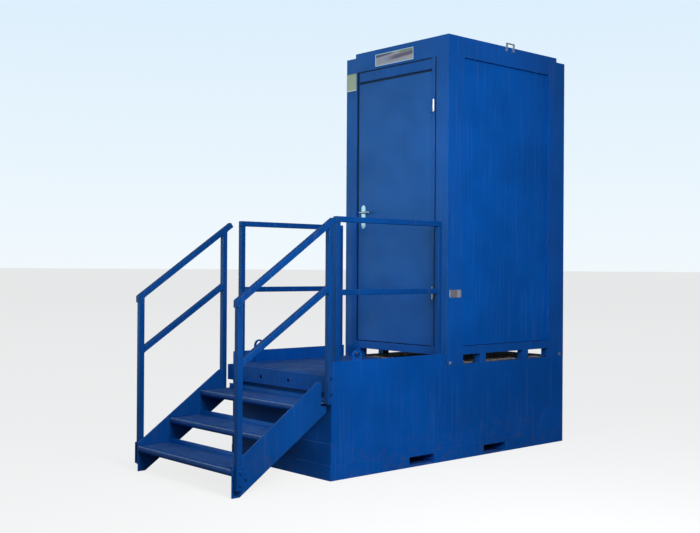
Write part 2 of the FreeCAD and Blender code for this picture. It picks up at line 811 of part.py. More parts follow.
def lock_case():
    """Thin-walled mortise case, open where the bolt slides and the spindle passes."""
    case = box_tube(case_x, case_y, plate_heights, case_wall)
    half_room = latch_size / 2 + moving_gap
    bolt_room = block((case_x[0] - through, case_x[0] + case_wall),
                      (latch_front - moving_gap, latch_front + latch_thickness + moving_gap),
                      (lever_height - half_room, lever_height + half_room))
    spindle = rod((lever_x, case_y[0] - through, lever_height), Y_AXIS, spindle_hole,
                  case_y[1] - case_y[0] + 2 * through)
    return case.cut(bolt_room).cut(spindle)


def latch_bolt():
    """Sprung latch: a bevelled head on a flat tail inside the case."""
    x0 = leaf_left - latch_throw + 1
    x1 = case_x[0] + latch_tail
    y1 = latch_front + latch_thickness
    bevel_x, bevel_y = latch_bevel
    points = [(x0, latch_front), (x1, latch_front), (x1, y1), (x0 + bevel_x, y1),
              (x0, latch_front + bevel_y)]
    bottom = lever_height - latch_size / 2
    vertices = [Vector(x, y, bottom) for x, y in points]
    return Part.Face(Part.makePolygon(vertices + vertices[:1])).extrude(Vector(0, 0, latch_size))


plate_radius = 23.0
plate_thickness = 3.0


def escutcheons():
    """Long plates of the lever set with round ends, one on each face of the leaf."""
    plates = []
    low, high = plate_heights
    for y0 in (leaf_front - plate_thickness, leaf_back):
        middle = block((lever_x - plate_radius, lever_x + plate_radius), (y0, y0 + plate_thickness),
                       (low + plate_radius, high - plate_radius))
        ends = [rod((lever_x, y0, z), Y_AXIS, plate_radius, plate_thickness)
                for z in (low + plate_radius, high - plate_radius)]
        hole = rod((lever_x, y0 - through, lever_height), Y_AXIS, spindle_hole,
                   plate_thickness + 2 * through)
        plates.append(join([middle] + ends).cut(hole))
    return group(plates)


neck_radius = 8.0
lever_length = 100.0
lever_stand_off = 37.0
lever_clearance = 2.0      # the neck starts this far from the leaf's face, inside the plate
spindle_half = 4.0
spindle_reach = 20.0       # the spindle runs this far into the outside lever's neck


def lever_handle(face, outward):
    """Round bar lever: a neck square to the door and a grip parallel to it."""
    grip_y = face + outward * lever_stand_off
    low = min(face, grip_y)
    neck = rod((lever_x, low, lever_height), Y_AXIS, neck_radius, abs(grip_y - face))
    grip = rod((lever_x, grip_y, lever_height), X_AXIS, neck_radius, lever_length)
    elbow = Part.makeSphere(neck_radius, Vector(lever_x, grip_y, lever_height))
    tip = Part.makeSphere(neck_radius, Vector(lever_x + lever_length, grip_y, lever_height))
    return join([neck, grip, elbow, tip])


def spindle_bar(y0, y1):
    return block((lever_x - spindle_half, lever_x + spindle_half), (y0, y1),
                 (lever_height - spindle_half, lever_height + spindle_half))


def lever_outside():
    lever = lever_handle(leaf_front - lever_clearance, -1)
    return lever.cut(spindle_bar(leaf_front - lever_clearance - spindle_reach, leaf_front))


def lever_inside():
    """Inside lever, in one piece with the square spindle that enters the outside lever."""
    lever = lever_handle(leaf_back + lever_clearance, 1)
    return join([lever, spindle_bar(leaf_front - lever_clearance - spindle_reach,
                                    leaf_back + lever_clearance + neck_radius)])


hinge_x = 437.0
hinge_y = cabin_front - hinge_radius - 2
hinge_bottoms = (1231.0, 2686.0)
hinge_strap = 4.0          # thickness of the strap on the door
hinge_flag = 3.0           # thickness of the plate in the jamb's groove
hinge_reach = 20.0         # the strap covers this much of the leaf
pin_foot = 4.0             # the pin starts this far above the bottom of the lower knuckle


def hinge_frame_leaves():
    """Upper knuckle and pin of each hinge, on a plate against the side of the jamb's groove."""
    solids = []
    half = hinge_length / 2
    for z in hinge_bottoms:
        knuckle = rod((hinge_x, hinge_y, z + half), Z_AXIS, hinge_radius, half)
        plate = block((right_groove, right_groove + hinge_flag), (hinge_y, cabin_front + jamb_recess - 1),
                      (z + half, z + hinge_length))
        pin = rod((hinge_x, hinge_y, z + pin_foot), Z_AXIS, pin_radius, half)
        solids.append(join([knuckle, plate, pin]))
    return group(solids)


def hinge_door_leaves():
    """Lower knuckle of each hinge with the strap that reaches onto the leaf."""
    solids = []
    height = hinge_length / 2 - moving_gap
    strap_y = (cabin_front - hinge_strap - moving_gap, cabin_front - moving_gap)
    strap_start = leaf_right - leaf_gap - hinge_reach
    for z in hinge_bottoms:
        knuckle = rod((hinge_x, hinge_y, z), Z_AXIS, hinge_radius, height)
        strap = block((strap_start, hinge_x), strap_y, (z, z + height))
        pad = block((strap_start, leaf_right - leaf_gap - 1), (strap_y[0], leaf_front), (z, z + height))
        bore = rod((hinge_x, hinge_y, z + pin_foot - moving_gap), Z_AXIS, pin_radius + pin_clearance,
                   hinge_length)
        solids.append(join([knuckle, strap, pad]).cut(bore))
    return group(solids)


# ---- shower plumbing ----------------------------------------------------------------------------
riser_y = rear_inner - 65.0
pipe_height = 2960.0
arm_drop = 80.0            # the shower head hangs this far below the pipe's centre line
valve_rear_y = 990.0
valve_front_y = 890.0
valve_y = (valve_rear_y + valve_front_y) / 2
valve_body_radius = 32.0


def bent_pipe(corners, radius, bore):
    """Round pipe through (y, z) corners at x = 0, with a tangent arc at every inner corner."""
    def path():
        points = [Vector(0, y, z) for y, z in corners]
        edges = []
        start = points[0]
        for here, after in zip(points[1:-1], points[2:]):
            into = Vector(here).sub(start).normalize()
            out = Vector(after).sub(here).normalize()
            arc_start = Vector(here).sub(Vector(into).multiply(pipe_bend))
            arc_end = Vector(here).add(Vector(out).multiply(pipe_bend))
            centre = Vector(arc_start).add(Vector(out).multiply(pipe_bend))
            to_corner = Vector(here).sub(centre).normalize()
            arc_middle = Vector(centre).add(to_corner.multiply(pipe_bend))
            edges.append(Part.LineSegment(start, arc_start).toShape())
            edges.append(Part.Arc(arc_start, arc_middle, arc_end).toShape())
            start = arc_end
        edges.append(Part.LineSegment(start, points[-1]).toShape())
        return Part.Wire(edges)

    def swept(section_radius):
        first = Vector(0, *corners[0])
        heading = Vector(0, *corners[1]).sub(first).normalize()
        circle = Part.Wire(Part.makeCircle(section_radius, first, heading))
        return path().makePipeShell([circle], True, False)

    return swept(radius).cut(swept(bore))


def supply_pipe():
    """Riser from the inlet in the rear wall up to the shower valve."""
    return bent_pipe([(cabin_rear - panel_recess, inlet_height), (riser_y, inlet_height),
                      (riser_y, pipe_height), (valve_rear_y, pipe_height)], pipe_radius, pipe_bore)


inlet_bore = 19.5
inlet_radius = 45.0
inlet_length = 9.0


def inlet_flange():
    """Collar around the inlet on the outside of the rear wall, bored for a hose tail."""
    y0 = cabin_rear - panel_recess
    collar = rod((0, y0, inlet_height), Y_AXIS, inlet_radius, inlet_length)
    return collar.cut(rod((0, y0 - through, inlet_height), Y_AXIS, inlet_bore, inlet_length + 2 * through))


def shower_arm():
    """Pipe from the valve to the shower head."""
    return bent_pipe([(valve_front_y, pipe_height), (shower_y, pipe_height),
                      (shower_y, pipe_height - arm_drop)], pipe_radius, pipe_bore)


head_radius = 125.0
head_bottom = 2830.0
head_socket_radius = 26.0
head_wall = 3.0
rose_thickness = 10.0
rose_holes = ((35.0, 8), (68.0, 14), (100.0, 20))   # (ring radius, count)
rose_hole_radius = 3.0


def turned(profile):
    """Solid of revolution about Z from (radius, z) points."""
    points = [Vector(r, 0, z) for r, z in profile]
    return Part.Face(Part.makePolygon(points + points[:1])).revolve(Vector(0, 0, 0), Z_AXIS, 360)


def shower_head():
    """Drench head: a shallow bell with a perforated rose set in its mouth."""
    top = pipe_height - arm_drop
    shoulder = top - 12
    room_top = top - 2 * head_wall
    room_floor = head_bottom + rose_thickness
    outer = turned([(0, top), (head_socket_radius, top), (head_socket_radius + 4, shoulder),
                    (head_radius, head_bottom + 12), (head_radius, head_bottom), (0, head_bottom)])
    room = turned([(0, room_top), (head_socket_radius - 4, room_top),
                   (head_socket_radius - 2, shoulder - head_wall),
                   (head_radius - head_wall - 2, room_floor), (0, room_floor)])
    socket = rod((0, 0, room_top - through), Z_AXIS, pipe_bore, 2 * head_wall + 2 * through)
    bell = outer.cut(room).cut(socket)
    for ring, count in rose_holes:
        for i in range(count):
            angle = 2 * math.pi * i / count
            bell = bell.cut(rod((ring * math.cos(angle), ring * math.sin(angle), head_bottom - 1), Z_AXIS,
                                rose_hole_radius, rose_thickness + 2))
    bell.translate(Vector(0, shower_y, 0))
    return bell


clamp_heights = (1700.0, 2500.0)
clamp_width = 25.0
clamp_wall = 5.0
clamp_foot_half = 14.0
clamp_base_half = 40.0
clamp_base_thickness = 5.0


def pipe_clamps():
    """Two saddles that hold the riser off the rear wall."""
    clamps = []
    base_front = rear_inner - clamp_base_thickness
    for z in clamp_heights:
        ring = rod((0, riser_y, z), Z_AXIS, pipe_radius + clamp_wall, clamp_width)
        foot = block((-clamp_foot_half, clamp_foot_half), (riser_y, base_front), (z, z + clamp_width))
        base = block((-clamp_base_half, clamp_base_half), (base_front, rear_inner),
                     (z - clamp_wall, z + clamp_width + clamp_wall))
        hole = rod((0, riser_y, z - 2 * clamp_wall), Z_AXIS, pipe_radius, clamp_width + 4 * clamp_wall)
        clamps.append(join([ring, foot, base]).cut(hole))
    return group(clamps)


valve_side = 36.0
valve_stem_radius = 8.0
gland_radius = 15.0
gland_length = 8.0


def shower_valve():
    """Stay-open ball valve in the overhead pipe, with a stem gland on its right side."""
    length = valve_rear_y - valve_front_y
    body = rod((0, valve_front_y, pipe_height), Y_AXIS, valve_body_radius, length)
    gland = rod((0, valve_y, pipe_height), X_AXIS, gland_radius, valve_side + gland_length)
    whole = join([body, gland])
    whole = whole.cut(rod((0, valve_front_y - through, pipe_height), Y_AXIS, pipe_bore,
                          length + 2 * through))
    return whole.cut(rod((pipe_bore + 1, valve_y, pipe_height), X_AXIS,
                         valve_stem_radius + pin_clearance, valve_side))


lever_arm = 100.0
lever_rest_angle = 30.0
lever_hub_x = valve_side + gland_length + moving_gap
lever_plate = 6.0
crank_pin_radius = 4.0
crank_pin_length = 12.0
crank_hub_radius = 16.0
crank_arm_width = 20.0


def valve_lever():
    """Crank on the valve stem; its pin carries the pull rod."""
    angle = math.radians(lever_rest_angle)
    end_y = valve_y - lever_arm * math.cos(angle)
    end_z = pipe_height + lever_arm * math.sin(angle)
    stem = rod((pipe_bore + 3, valve_y, pipe_height), X_AXIS, valve_stem_radius,
               lever_hub_x + lever_plate - pipe_bore - 3)
    hub = rod((lever_hub_x, valve_y, pipe_height), X_AXIS, crank_hub_radius, lever_plate)
    arm = side_plate(bar_outline((valve_y, pipe_height), (end_y, end_z), crank_arm_width), lever_hub_x,
                     lever_hub_x + lever_plate)
    eye = rod((lever_hub_x, end_y, end_z), X_AXIS, crank_arm_width / 2, lever_plate)
    pin = rod((lever_hub_x, end_y, end_z), X_AXIS, crank_pin_radius, lever_plate + crank_pin_length)
    return join([stem, hub, arm, eye, pin])


rod_radius = 5.0
ring_radius = 60.0
ring_wire = 6.0
ring_top = 2560.0
eye_thickness = 5.0
eye_gap = 3.0              # from the crank to the rod's eye
eye_rim = 6.0
slot_room = 2.0


def pull_rod():
    """Pull rod: a slotted eye on the crank pin, a straight rod and a ring to pull."""
    angle = math.radians(lever_rest_angle)
    pin_z = pipe_height + lever_arm * math.sin(angle)
    near_y = valve_y - lever_arm * math.cos(angle)
    far_y = valve_y - lever_arm
    x0 = lever_hub_x + lever_plate + eye_gap
    middle_y = (near_y + far_y) / 2
    slot_half_y = abs(near_y - far_y) / 2 + crank_pin_radius + slot_room
    slot_half_z = crank_pin_radius + slot_room
    eye = block((x0, x0 + eye_thickness),
                (middle_y - slot_half_y - eye_rim, middle_y + slot_half_y + eye_rim),
                (pin_z - slot_half_z - eye_rim, pin_z + slot_half_z + eye_rim))
    slot = block((x0, x0 + eye_thickness), (middle_y - slot_half_y, middle_y + slot_half_y),
                 (pin_z - slot_half_z, pin_z + slot_half_z))
    rod_x = x0 + eye_thickness / 2
    shaft_low = ring_top - ring_wire / 2
    shaft = rod((rod_x, middle_y, shaft_low), Z_AXIS, rod_radius, pin_z - slot_half_z - 1 - shaft_low)
    ring = Part.makeTorus(ring_radius, ring_wire, Vector(rod_x, middle_y, ring_top - ring_radius), X_AXIS)
    return join([eye.cut(slot), shaft, ring])


lamp_half_width = 150.0
lamp_span = (200.0, 320.0)
lamp_height = 45.0
lamp_wall = 3.0


def ceiling_light():
    """Bulkhead lamp on the ceiling panel."""
    z = roof_rail_bottom - panel_thickness
    return box_tube((-lamp_half_width, lamp_half_width), lamp_span, (z - lamp_height, z), lamp_wall)


# ---- every sub-part, by node name ---------------------------------------------------------------
def build_all():
    nodes = {
        "base_frame": base_frame(),
        "fork_tunnel_front": fork_tunnel(-1),
        "fork_tunnel_rear": fork_tunnel(1),
        "tank_floor": tank_floor(),
        "tank_front_plate": tank_front_plate(),
        "tank_rear_plate": tank_rear_plate(),
        "tank_top": tank_top(),
        "cabin_seat": cabin_seat(),
        "deck_plate": deck_plate(),
        "front_step_beam": front_step_beam(),
        "drain_valve_body": drain_valve_body(),
        "drain_valve_handle": drain_valve_handle(),
        "tread_lower": tread(0),
        "tread_middle": tread(1),
        "tread_upper": tread(2),
        "frame_bolts": frame_bolts(),
        "corner_post_front_left": corner_post(LEFT, -1, cabin_top - low_head_step),
        "corner_post_front_right": corner_post(RIGHT, -1, cabin_top),
        "corner_post_rear_left": corner_post(LEFT, 1, cabin_top),
        "corner_post_rear_right": corner_post(RIGHT, 1, cabin_top - low_head_step),
        "floor_rails": floor_rails(),
        "roof_rails": roof_rails(),
        "roof_sheet": roof_sheet(),
        "wall_panel_rear": wall_panel_rear(),
        "ceiling_panel": ceiling_panel(),
        "floor_tray": floor_tray(),
        "floor_drain": floor_drain(),
        "hold_down_bolts": hold_down_bolts(),
        "roof_bracket": roof_bracket(),
        "name_plate": name_plate(),
        "door_frame": door_frame(),
        "door_seal": door_seal(),
        "door_leaf": door_leaf(),
        "lock_case": lock_case(),
        "latch_bolt": latch_bolt(),
        "escutcheons": escutcheons(),
        "lever_outside": lever_outside(),
        "lever_inside": lever_inside(),
        "hinge_frame_leaves": hinge_frame_leaves(),
        "hinge_door_leaves": hinge_door_leaves(),
        "supply_pipe": supply_pipe(),
        "inlet_flange": inlet_flange(),
        "shower_arm": shower_arm(),
        "shower_head": shower_head(),
        "pipe_clamps": pipe_clamps(),
        "shower_valve": shower_valve(),
        "valve_lever": valve_lever(),
        "pull_rod": pull_rod(),
        "ceiling_light": ceiling_light(),
    }
    for name, side in SIDES.items():
        nodes["tank_side_" + name] = tank_side(side)
        nodes["stringer_" + name] = stringer(side)
        nodes["stair_handrail_" + name] = stair_handrail(side)
        nodes["platform_rail_" + name] = platform_rail(side)
        nodes["wall_panel_" + name] = wall_panel_side(side)
    nodes["lifting_lugs"] = group([lifting_lug(LEFT), lifting_lug(RIGHT)])
    return nodes


os.makedirs("parts", exist_ok=True)
for node_name, node_shape in build_all().items():
    save(node_name, node_shape)
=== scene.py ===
"""Emergency safety shower cabin on a waste-water tank, with a stair and rails: the looks."""

import json
import math
import random

import bmesh
import bpy
from mathutils import Matrix, Vector


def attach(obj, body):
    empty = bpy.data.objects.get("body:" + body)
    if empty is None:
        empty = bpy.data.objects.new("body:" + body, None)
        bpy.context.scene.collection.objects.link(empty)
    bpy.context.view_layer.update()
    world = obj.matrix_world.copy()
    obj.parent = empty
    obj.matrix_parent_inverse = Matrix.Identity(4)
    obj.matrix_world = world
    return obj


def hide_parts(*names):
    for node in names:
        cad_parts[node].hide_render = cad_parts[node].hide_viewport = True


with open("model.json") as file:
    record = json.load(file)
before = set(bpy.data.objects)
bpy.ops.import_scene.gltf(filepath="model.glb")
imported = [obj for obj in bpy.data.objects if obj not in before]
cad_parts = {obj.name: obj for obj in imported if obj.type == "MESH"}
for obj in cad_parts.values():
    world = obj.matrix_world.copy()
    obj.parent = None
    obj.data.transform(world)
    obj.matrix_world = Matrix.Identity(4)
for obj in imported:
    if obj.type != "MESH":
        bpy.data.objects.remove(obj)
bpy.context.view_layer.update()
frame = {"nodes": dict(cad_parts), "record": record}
nodes = frame["nodes"]
dice = random.Random(7)


# lowest and highest corners of the CAD nodes that pieces are made to, in metres
CORNERS = {
    "stair_handrail_left": ((-0.633, -2.141, 0.045), (-0.585, -1.31265, 1.81617)),
    "stair_handrail_right": ((0.585, -2.141, 0.045), (0.633, -1.31265, 1.81617)),
    "platform_rail_left": ((-0.58, -1.27, 0.73), (-0.54, -0.22, 1.83)),
    "platform_rail_right": ((0.54, -1.27, 0.73), (0.58, -0.204, 1.83)),
    "tread_lower": ((-0.577, -2.142, 0.142), (0.577, -1.872, 0.217)),
    "tread_middle": ((-0.577, -1.878, 0.324), (0.577, -1.608, 0.399)),
    "tread_upper": ((-0.577, -1.614, 0.506), (0.577, -1.344, 0.581)),
    "wall_panel_left": ((-0.567, 0.035, 0.866), (-0.527, 1.097, 3.113)),
    "wall_panel_right": ((0.527, 0.035, 0.866), (0.567, 1.097, 3.113)),
    "wall_panel_rear": ((-0.46, 1.26, 0.866), (0.46, 1.3, 3.113)),
    "cabin_seat": ((-0.58, -0.15, 0.722), (0.58, 1.31, 0.73)),
    "floor_drain": ((-0.058, 0.502, 0.67), (0.058, 0.618, 0.884)),
    "name_plate": ((-0.231, -0.153, 3.131), (0.207, -0.15, 3.229)),
    "corner_post_front_right": ((0.408, -0.15, 0.73), (0.585, 0.035, 3.27)),
}

# ---------------------------------------------------------------- view, sizes and colours

CAMERA_PLACE = Vector((5.922, -5.919, 1.461))
CAMERA_YAW = math.radians(48.21)
CAMERA_PITCH = math.radians(0.16)
CAMERA_ROLL = math.radians(0.34)
CAMERA_LENS = 52.65
SENSOR = 36.0

FLOOR_HALF_SIZE = 2000.0
FLOOR_COLOUR = (0.15, 0.15, 0.15)
FLOOR_GLOW = (0.8, 0.775)
SKY_LOW = (0.88, 0.945, 0.985)
SKY_HIGH = (0.716, 0.863, 0.983)
SKY_HIGH_AT = 0.26
AMBIENT = (0.13, 0.19, 0.23)
GLARE_COLOUR = (0.55, 0.9, 1.0)

BLUE = (0.0, 0.063, 0.31)
# slightly lighter and greyer copy of the blue for the door: a painted sheen of the pale front
DOOR_BLUE_PAINTED_SHEEN = (0.002, 0.068, 0.31)
# lighter copy of the blue for the wall panels: painted light, making up for the shade of their recess
WALL_BLUE_PAINTED_LIGHT = (0.0, 0.07, 0.34)
# darker copy of the blue for the rails: painted shade
RAIL_BLUE_PAINTED_SHADE = (0.0, 0.046, 0.22)
# darker copy of the blue for the stair and its treads: painted shade
STAIR_BLUE_PAINTED_SHADE = (0.0, 0.054, 0.255)
DUST = (0.12, 0.17, 0.27)
WORN_BLUE = (0.085, 0.12, 0.3)
COOL_GLOSS = (0.5, 0.8, 1.0)
# pale blue for rounded upright corners: a painted highlight
PAINTED_CORNER_HIGHLIGHT = (0.16, 0.4, 0.66)
GREY_STEEL = (0.5, 0.52, 0.54)
SCUFF = (0.2, 0.25, 0.36)
SPLASH_GREY = (0.07, 0.07, 0.075)

TREAD_RISE = 0.182
TREAD_GOING = 0.264
LABEL_X = (-0.58, -0.465)
LABEL_Z = (2.964, 3.112)
DATA_Y = (-0.125, 0.008)
DATA_Z = (1.249, 1.308)
PLATE_BOTTOM = CORNERS["name_plate"][0][2]


# ---------------------------------------------------------------- shader helper


class Shader:
    """A material with one Principled shader, and short calls that add nodes to it."""

    def __init__(self, name, colour, roughness, metallic=0.0, specular=0.5):
        self.material = bpy.data.materials.new(name)
        self.material.use_nodes = True
        self.tree = self.material.node_tree
        self.surface = self.tree.nodes["Principled BSDF"]
        self.surface.inputs["Base Color"].default_value = (*colour, 1)
        self.surface.inputs["Roughness"].default_value = roughness
        self.surface.inputs["Metallic"].default_value = metallic
        self.surface.inputs["Specular IOR Level"].default_value = specular
        if metallic == 0.0:
            self.surface.inputs["Specular Tint"].default_value = (*COOL_GLOSS, 1)
        self.place = self.add("ShaderNodeTexCoord").outputs["Object"]
        self.normal = self.add("ShaderNodeNewGeometry").outputs["Normal"]
        self.bump_out = None

    def add(self, kind, **settings):
        node = self.tree.nodes.new(kind)
        for key, value in settings.items():
            setattr(node, key, value)
        return node

    def put(self, socket, value):
        """Links a socket, or sets its value."""
        if isinstance(value, bpy.types.NodeSocket):
            self.tree.links.new(value, socket)
        elif isinstance(value, tuple) and len(value) == 3 and socket.type == "RGBA":
            socket.default_value = (*value, 1)
        else:
            socket.default_value = value

    def stretched(self, scale):
        """The place, scaled by a number along each axis."""
        node = self.add("ShaderNodeMapping")
        self.put(node.inputs["Vector"], self.place)
        node.inputs["Scale"].default_value = scale
        return node.outputs["Vector"]

    def noise(self, scale, detail=4.0, rough=0.55, where=None):
        node = self.add("ShaderNodeTexNoise")
        self.put(node.inputs["Vector"], where or self.place)
        node.inputs["Scale"].default_value = scale
        node.inputs["Detail"].default_value = detail
        node.inputs["Roughness"].default_value = rough
        return node.outputs["Fac"]

    def cells(self, scale, feature="F1", output="Distance", where=None):
        node = self.add("ShaderNodeTexVoronoi", feature=feature)
        self.put(node.inputs["Vector"], where or self.place)
        node.inputs["Scale"].default_value = scale
        return node.outputs[output]

    def math(self, kind, a, b=0.0, clamp=False):
        node = self.add("ShaderNodeMath", operation=kind, use_clamp=clamp)
        self.put(node.inputs[0], a)
        self.put(node.inputs[1], b)
        return node.outputs[0]

    def span(self, value, low, high, out_low=0.0, out_high=1.0):
        """Maps low..high onto out_low..out_high, clamped and smooth."""
        node = self.add("ShaderNodeMapRange", interpolation_type="SMOOTHSTEP")
        self.put(node.inputs["Value"], value)
        limits = {"From Min": low, "From Max": high, "To Min": out_low, "To Max": out_high}
        for name, number in limits.items():
            node.inputs[name].default_value = number
        return node.outputs["Result"]

    def part(self, vector, axis):
        node = self.add("ShaderNodeSeparateXYZ")
        self.put(node.inputs[0], vector)
        return node.outputs[axis]

    def mix(self, amount, a, b):
        node = self.add("ShaderNodeMix", data_type="RGBA")
        self.put(node.inputs["Factor"], amount)
        self.put(node.inputs["A"], a)
        self.put(node.inputs["B"], b)
        return node.outputs["Result"]

    def bump(self, height, distance, strength=1.0):
        node = self.add("ShaderNodeBump")
        self.put(node.inputs["Height"], height)
        node.inputs["Distance"].default_value = distance
        node.inputs["Strength"].default_value = strength
        if self.bump_out is not None:
            self.tree.links.new(self.bump_out, node.inputs["Normal"])
        self.bump_out = node.outputs["Normal"]
        self.tree.links.new(self.bump_out, self.surface.inputs["Normal"])

    def edges(self, radius):
        """1 on sharp edges, fading to 0 within the radius."""
        round_normal = self.add("ShaderNodeBevel", samples=4)
        round_normal.inputs["Radius"].default_value = radius
        dot = self.add("ShaderNodeVectorMath", operation="DOT_PRODUCT")
        self.put(dot.inputs[0], round_normal.outputs["Normal"])
        self.put(dot.inputs[1], self.normal)
        return self.span(dot.outputs["Value"], 0.99, 0.8)

    def colour(self, value):
        self.put(self.surface.inputs["Base Color"], value)

    def roughness(self, value):
        self.put(self.surface.inputs["Roughness"], value)


# ---------------------------------------------------------------- materials


def enamel(name, colour, roughness=0.42, dust=0.35, wear=0.5, grime_top=None, streaks=0.1, specular=0.2,
           painted_corner_highlight=False):
    """Blue enamel on steel: faint mottling, rain streaks, dust on level faces, worn edges and fine peel.

    With the corner option, rounded upright corners turn pale: a painted highlight along the rounded edge.
    """
    s = Shader(name, colour, roughness, specular=specular)
    dark = tuple(0.9 * c for c in colour)
    light = tuple(1.1 * c for c in colour)
    paint = s.mix(s.span(s.noise(2.3, 5.0), 0.35, 0.65), dark, light)
    rain = s.span(s.noise(1.0, 6.0, 0.6, s.stretched((46.0, 46.0, 1.4))), 0.52, 0.72, 0.0, streaks)
    paint = s.mix(rain, paint, DUST)
    level = s.span(s.part(s.normal, 2), 0.6, 0.95)
    blotches = s.span(s.noise(9.0, 7.0, 0.65), 0.38, 0.66, 0.15, 1.0)
    paint = s.mix(s.math("MULTIPLY", s.math("MULTIPLY", level, blotches), dust), paint, DUST)
    if grime_top is not None:
        low = s.span(s.part(s.place, 2), grime_top, 0.0)
        splash = s.span(s.noise(16.0, 8.0, 0.7), 0.5, 0.72)
        paint = s.mix(s.math("MULTIPLY", s.math("MULTIPLY", low, splash), 0.35), paint, SPLASH_GREY)
    if wear > 0:
        rubbed = s.math("MULTIPLY", s.edges(0.004), s.span(s.noise(14.0, 6.0, 0.7), 0.42, 0.62))
        paint = s.mix(s.math("MULTIPLY", rubbed, wear), paint, WORN_BLUE)
    # painted highlight: pale blue where the normal turns between front and side, on rounded corners
    if painted_corner_highlight:
        corner_highlight_mask = s.math("ABSOLUTE", s.math("MULTIPLY", s.part(s.normal, 0), s.part(s.normal, 1)))
        paint = s.mix(s.span(corner_highlight_mask, 0.12, 0.4), paint, PAINTED_CORNER_HIGHLIGHT)
    s.colour(paint)
    s.roughness(s.span(s.noise(5.0, 6.0, 0.6), 0.3, 0.7, roughness - 0.08, roughness + 0.1))
    s.bump(s.noise(260.0, 2.0), 0.0004, 0.25)
    s.bump(s.noise(2.2, 2.0), 0.004, 0.25)
    return s.material


def galvanised(name="galvanised"):
    """Hot-dip zinc: large crystal spangle with dull and bright patches."""
    s = Shader(name, GREY_STEEL, 0.45, metallic=0.85)
    spangle = s.cells(70.0, output="Color")
    tint = s.mix(s.part(spangle, 0), (0.36, 0.38, 0.4), (0.6, 0.61, 0.63))
    s.colour(s.mix(s.span(s.noise(8.0, 6.0), 0.4, 0.7), tint, (0.5, 0.5, 0.49)))
    s.roughness(s.span(s.part(spangle, 1), 0.0, 1.0, 0.32, 0.55))
    s.bump(s.noise(120.0, 4.0), 0.0003, 0.3)
    return s.material


def brushed(name, colour, along=(4.0, 400.0, 400.0), roughness=0.28):
    """Brushed stainless steel or aluminium, with its grain along the axis of the small scale."""
    s = Shader(name, colour, roughness, metallic=1.0)
    grain = s.noise(1.0, 3.0, 0.6, s.stretched(along))
    s.colour(s.mix(grain, tuple(0.8 * c for c in colour), tuple(1.1 * c for c in colour)))
    s.roughness(s.span(grain, 0.3, 0.7, roughness - 0.08, roughness + 0.12))
    s.bump(grain, 0.0002, 0.2)
    return s.material


def simple(name, colour, roughness, metallic=0.0, grain=60.0, variation=0.12, relief=0.0003):
    """An even finish with a little unevenness in colour, gloss and surface."""
    s = Shader(name, colour, roughness, metallic=metallic)
    cloud = s.noise(grain / 8, 6.0, 0.6)
    low = tuple((1 - variation) * c for c in colour)
    high = tuple(min(1.0, (1 + variation) * c) for c in colour)
    s.colour(s.mix(s.span(cloud, 0.3, 0.7), low, high))
    s.roughness(s.span(s.noise(grain / 3, 5.0), 0.3, 0.7, roughness - 0.06, roughness + 0.08))
    s.bump(s.noise(grain * 4, 3.0), relief, 0.3)
    return s.material


def worn_tread():
    """Stair enamel with a bright rubbed line and a lighter band on each nosing, and scuffed treads."""
    # the base is the darker stair blue, which paints shade
    s = Shader("tread_enamel_painted_shade", STAIR_BLUE_PAINTED_SHADE, 0.42, specular=0.2)
    paint = s.mix(s.span(s.noise(2.3, 5.0), 0.35, 0.65), tuple(0.9 * c for c in STAIR_BLUE_PAINTED_SHADE),
                  tuple(1.15 * c for c in STAIR_BLUE_PAINTED_SHADE))
    level = s.span(s.part(s.normal, 2), 0.6, 0.95)
    blotches = s.span(s.noise(7.0, 7.0, 0.65), 0.4, 0.68)
    paint = s.mix(s.math("MULTIPLY", s.math("MULTIPLY", level, blotches), 0.08), paint, DUST)
    height = s.math("MODULO", s.part(s.place, 2), TREAD_RISE)
    ragged = s.span(s.noise(24.0, 6.0, 0.7), 0.3, 0.7, 0.35, 1.0)
    band = s.span(height, TREAD_RISE - 0.034, TREAD_RISE - 0.02)
    paint = s.mix(s.math("MULTIPLY", s.math("MULTIPLY", band, ragged), 0.35), paint, WORN_BLUE)
    line = s.span(height, TREAD_RISE - 0.008, TREAD_RISE - 0.004)
    paint = s.mix(s.math("MULTIPLY", s.math("MULTIPLY", line, ragged), 0.85), paint, SCUFF)
    s.colour(paint)
    s.roughness(s.span(s.noise(5.0, 6.0, 0.6), 0.3, 0.7, 0.36, 0.55))
    s.bump(s.noise(260.0, 2.0), 0.0004, 0.25)
    return s.material


def corroded():
    """Old galvanised bars with brown rust and dirt."""
    s = Shader("rusty_steel", (0.5, 0.44, 0.38), 0.6, metallic=0.1)
    rust = s.span(s.noise(18.0, 7.0, 0.7), 0.4, 0.65)
    s.colour(s.mix(rust, (0.6, 0.55, 0.5), (0.4, 0.28, 0.2)))
    s.bump(s.noise(300.0, 5.0), 0.0004, 0.6)
    return s.material


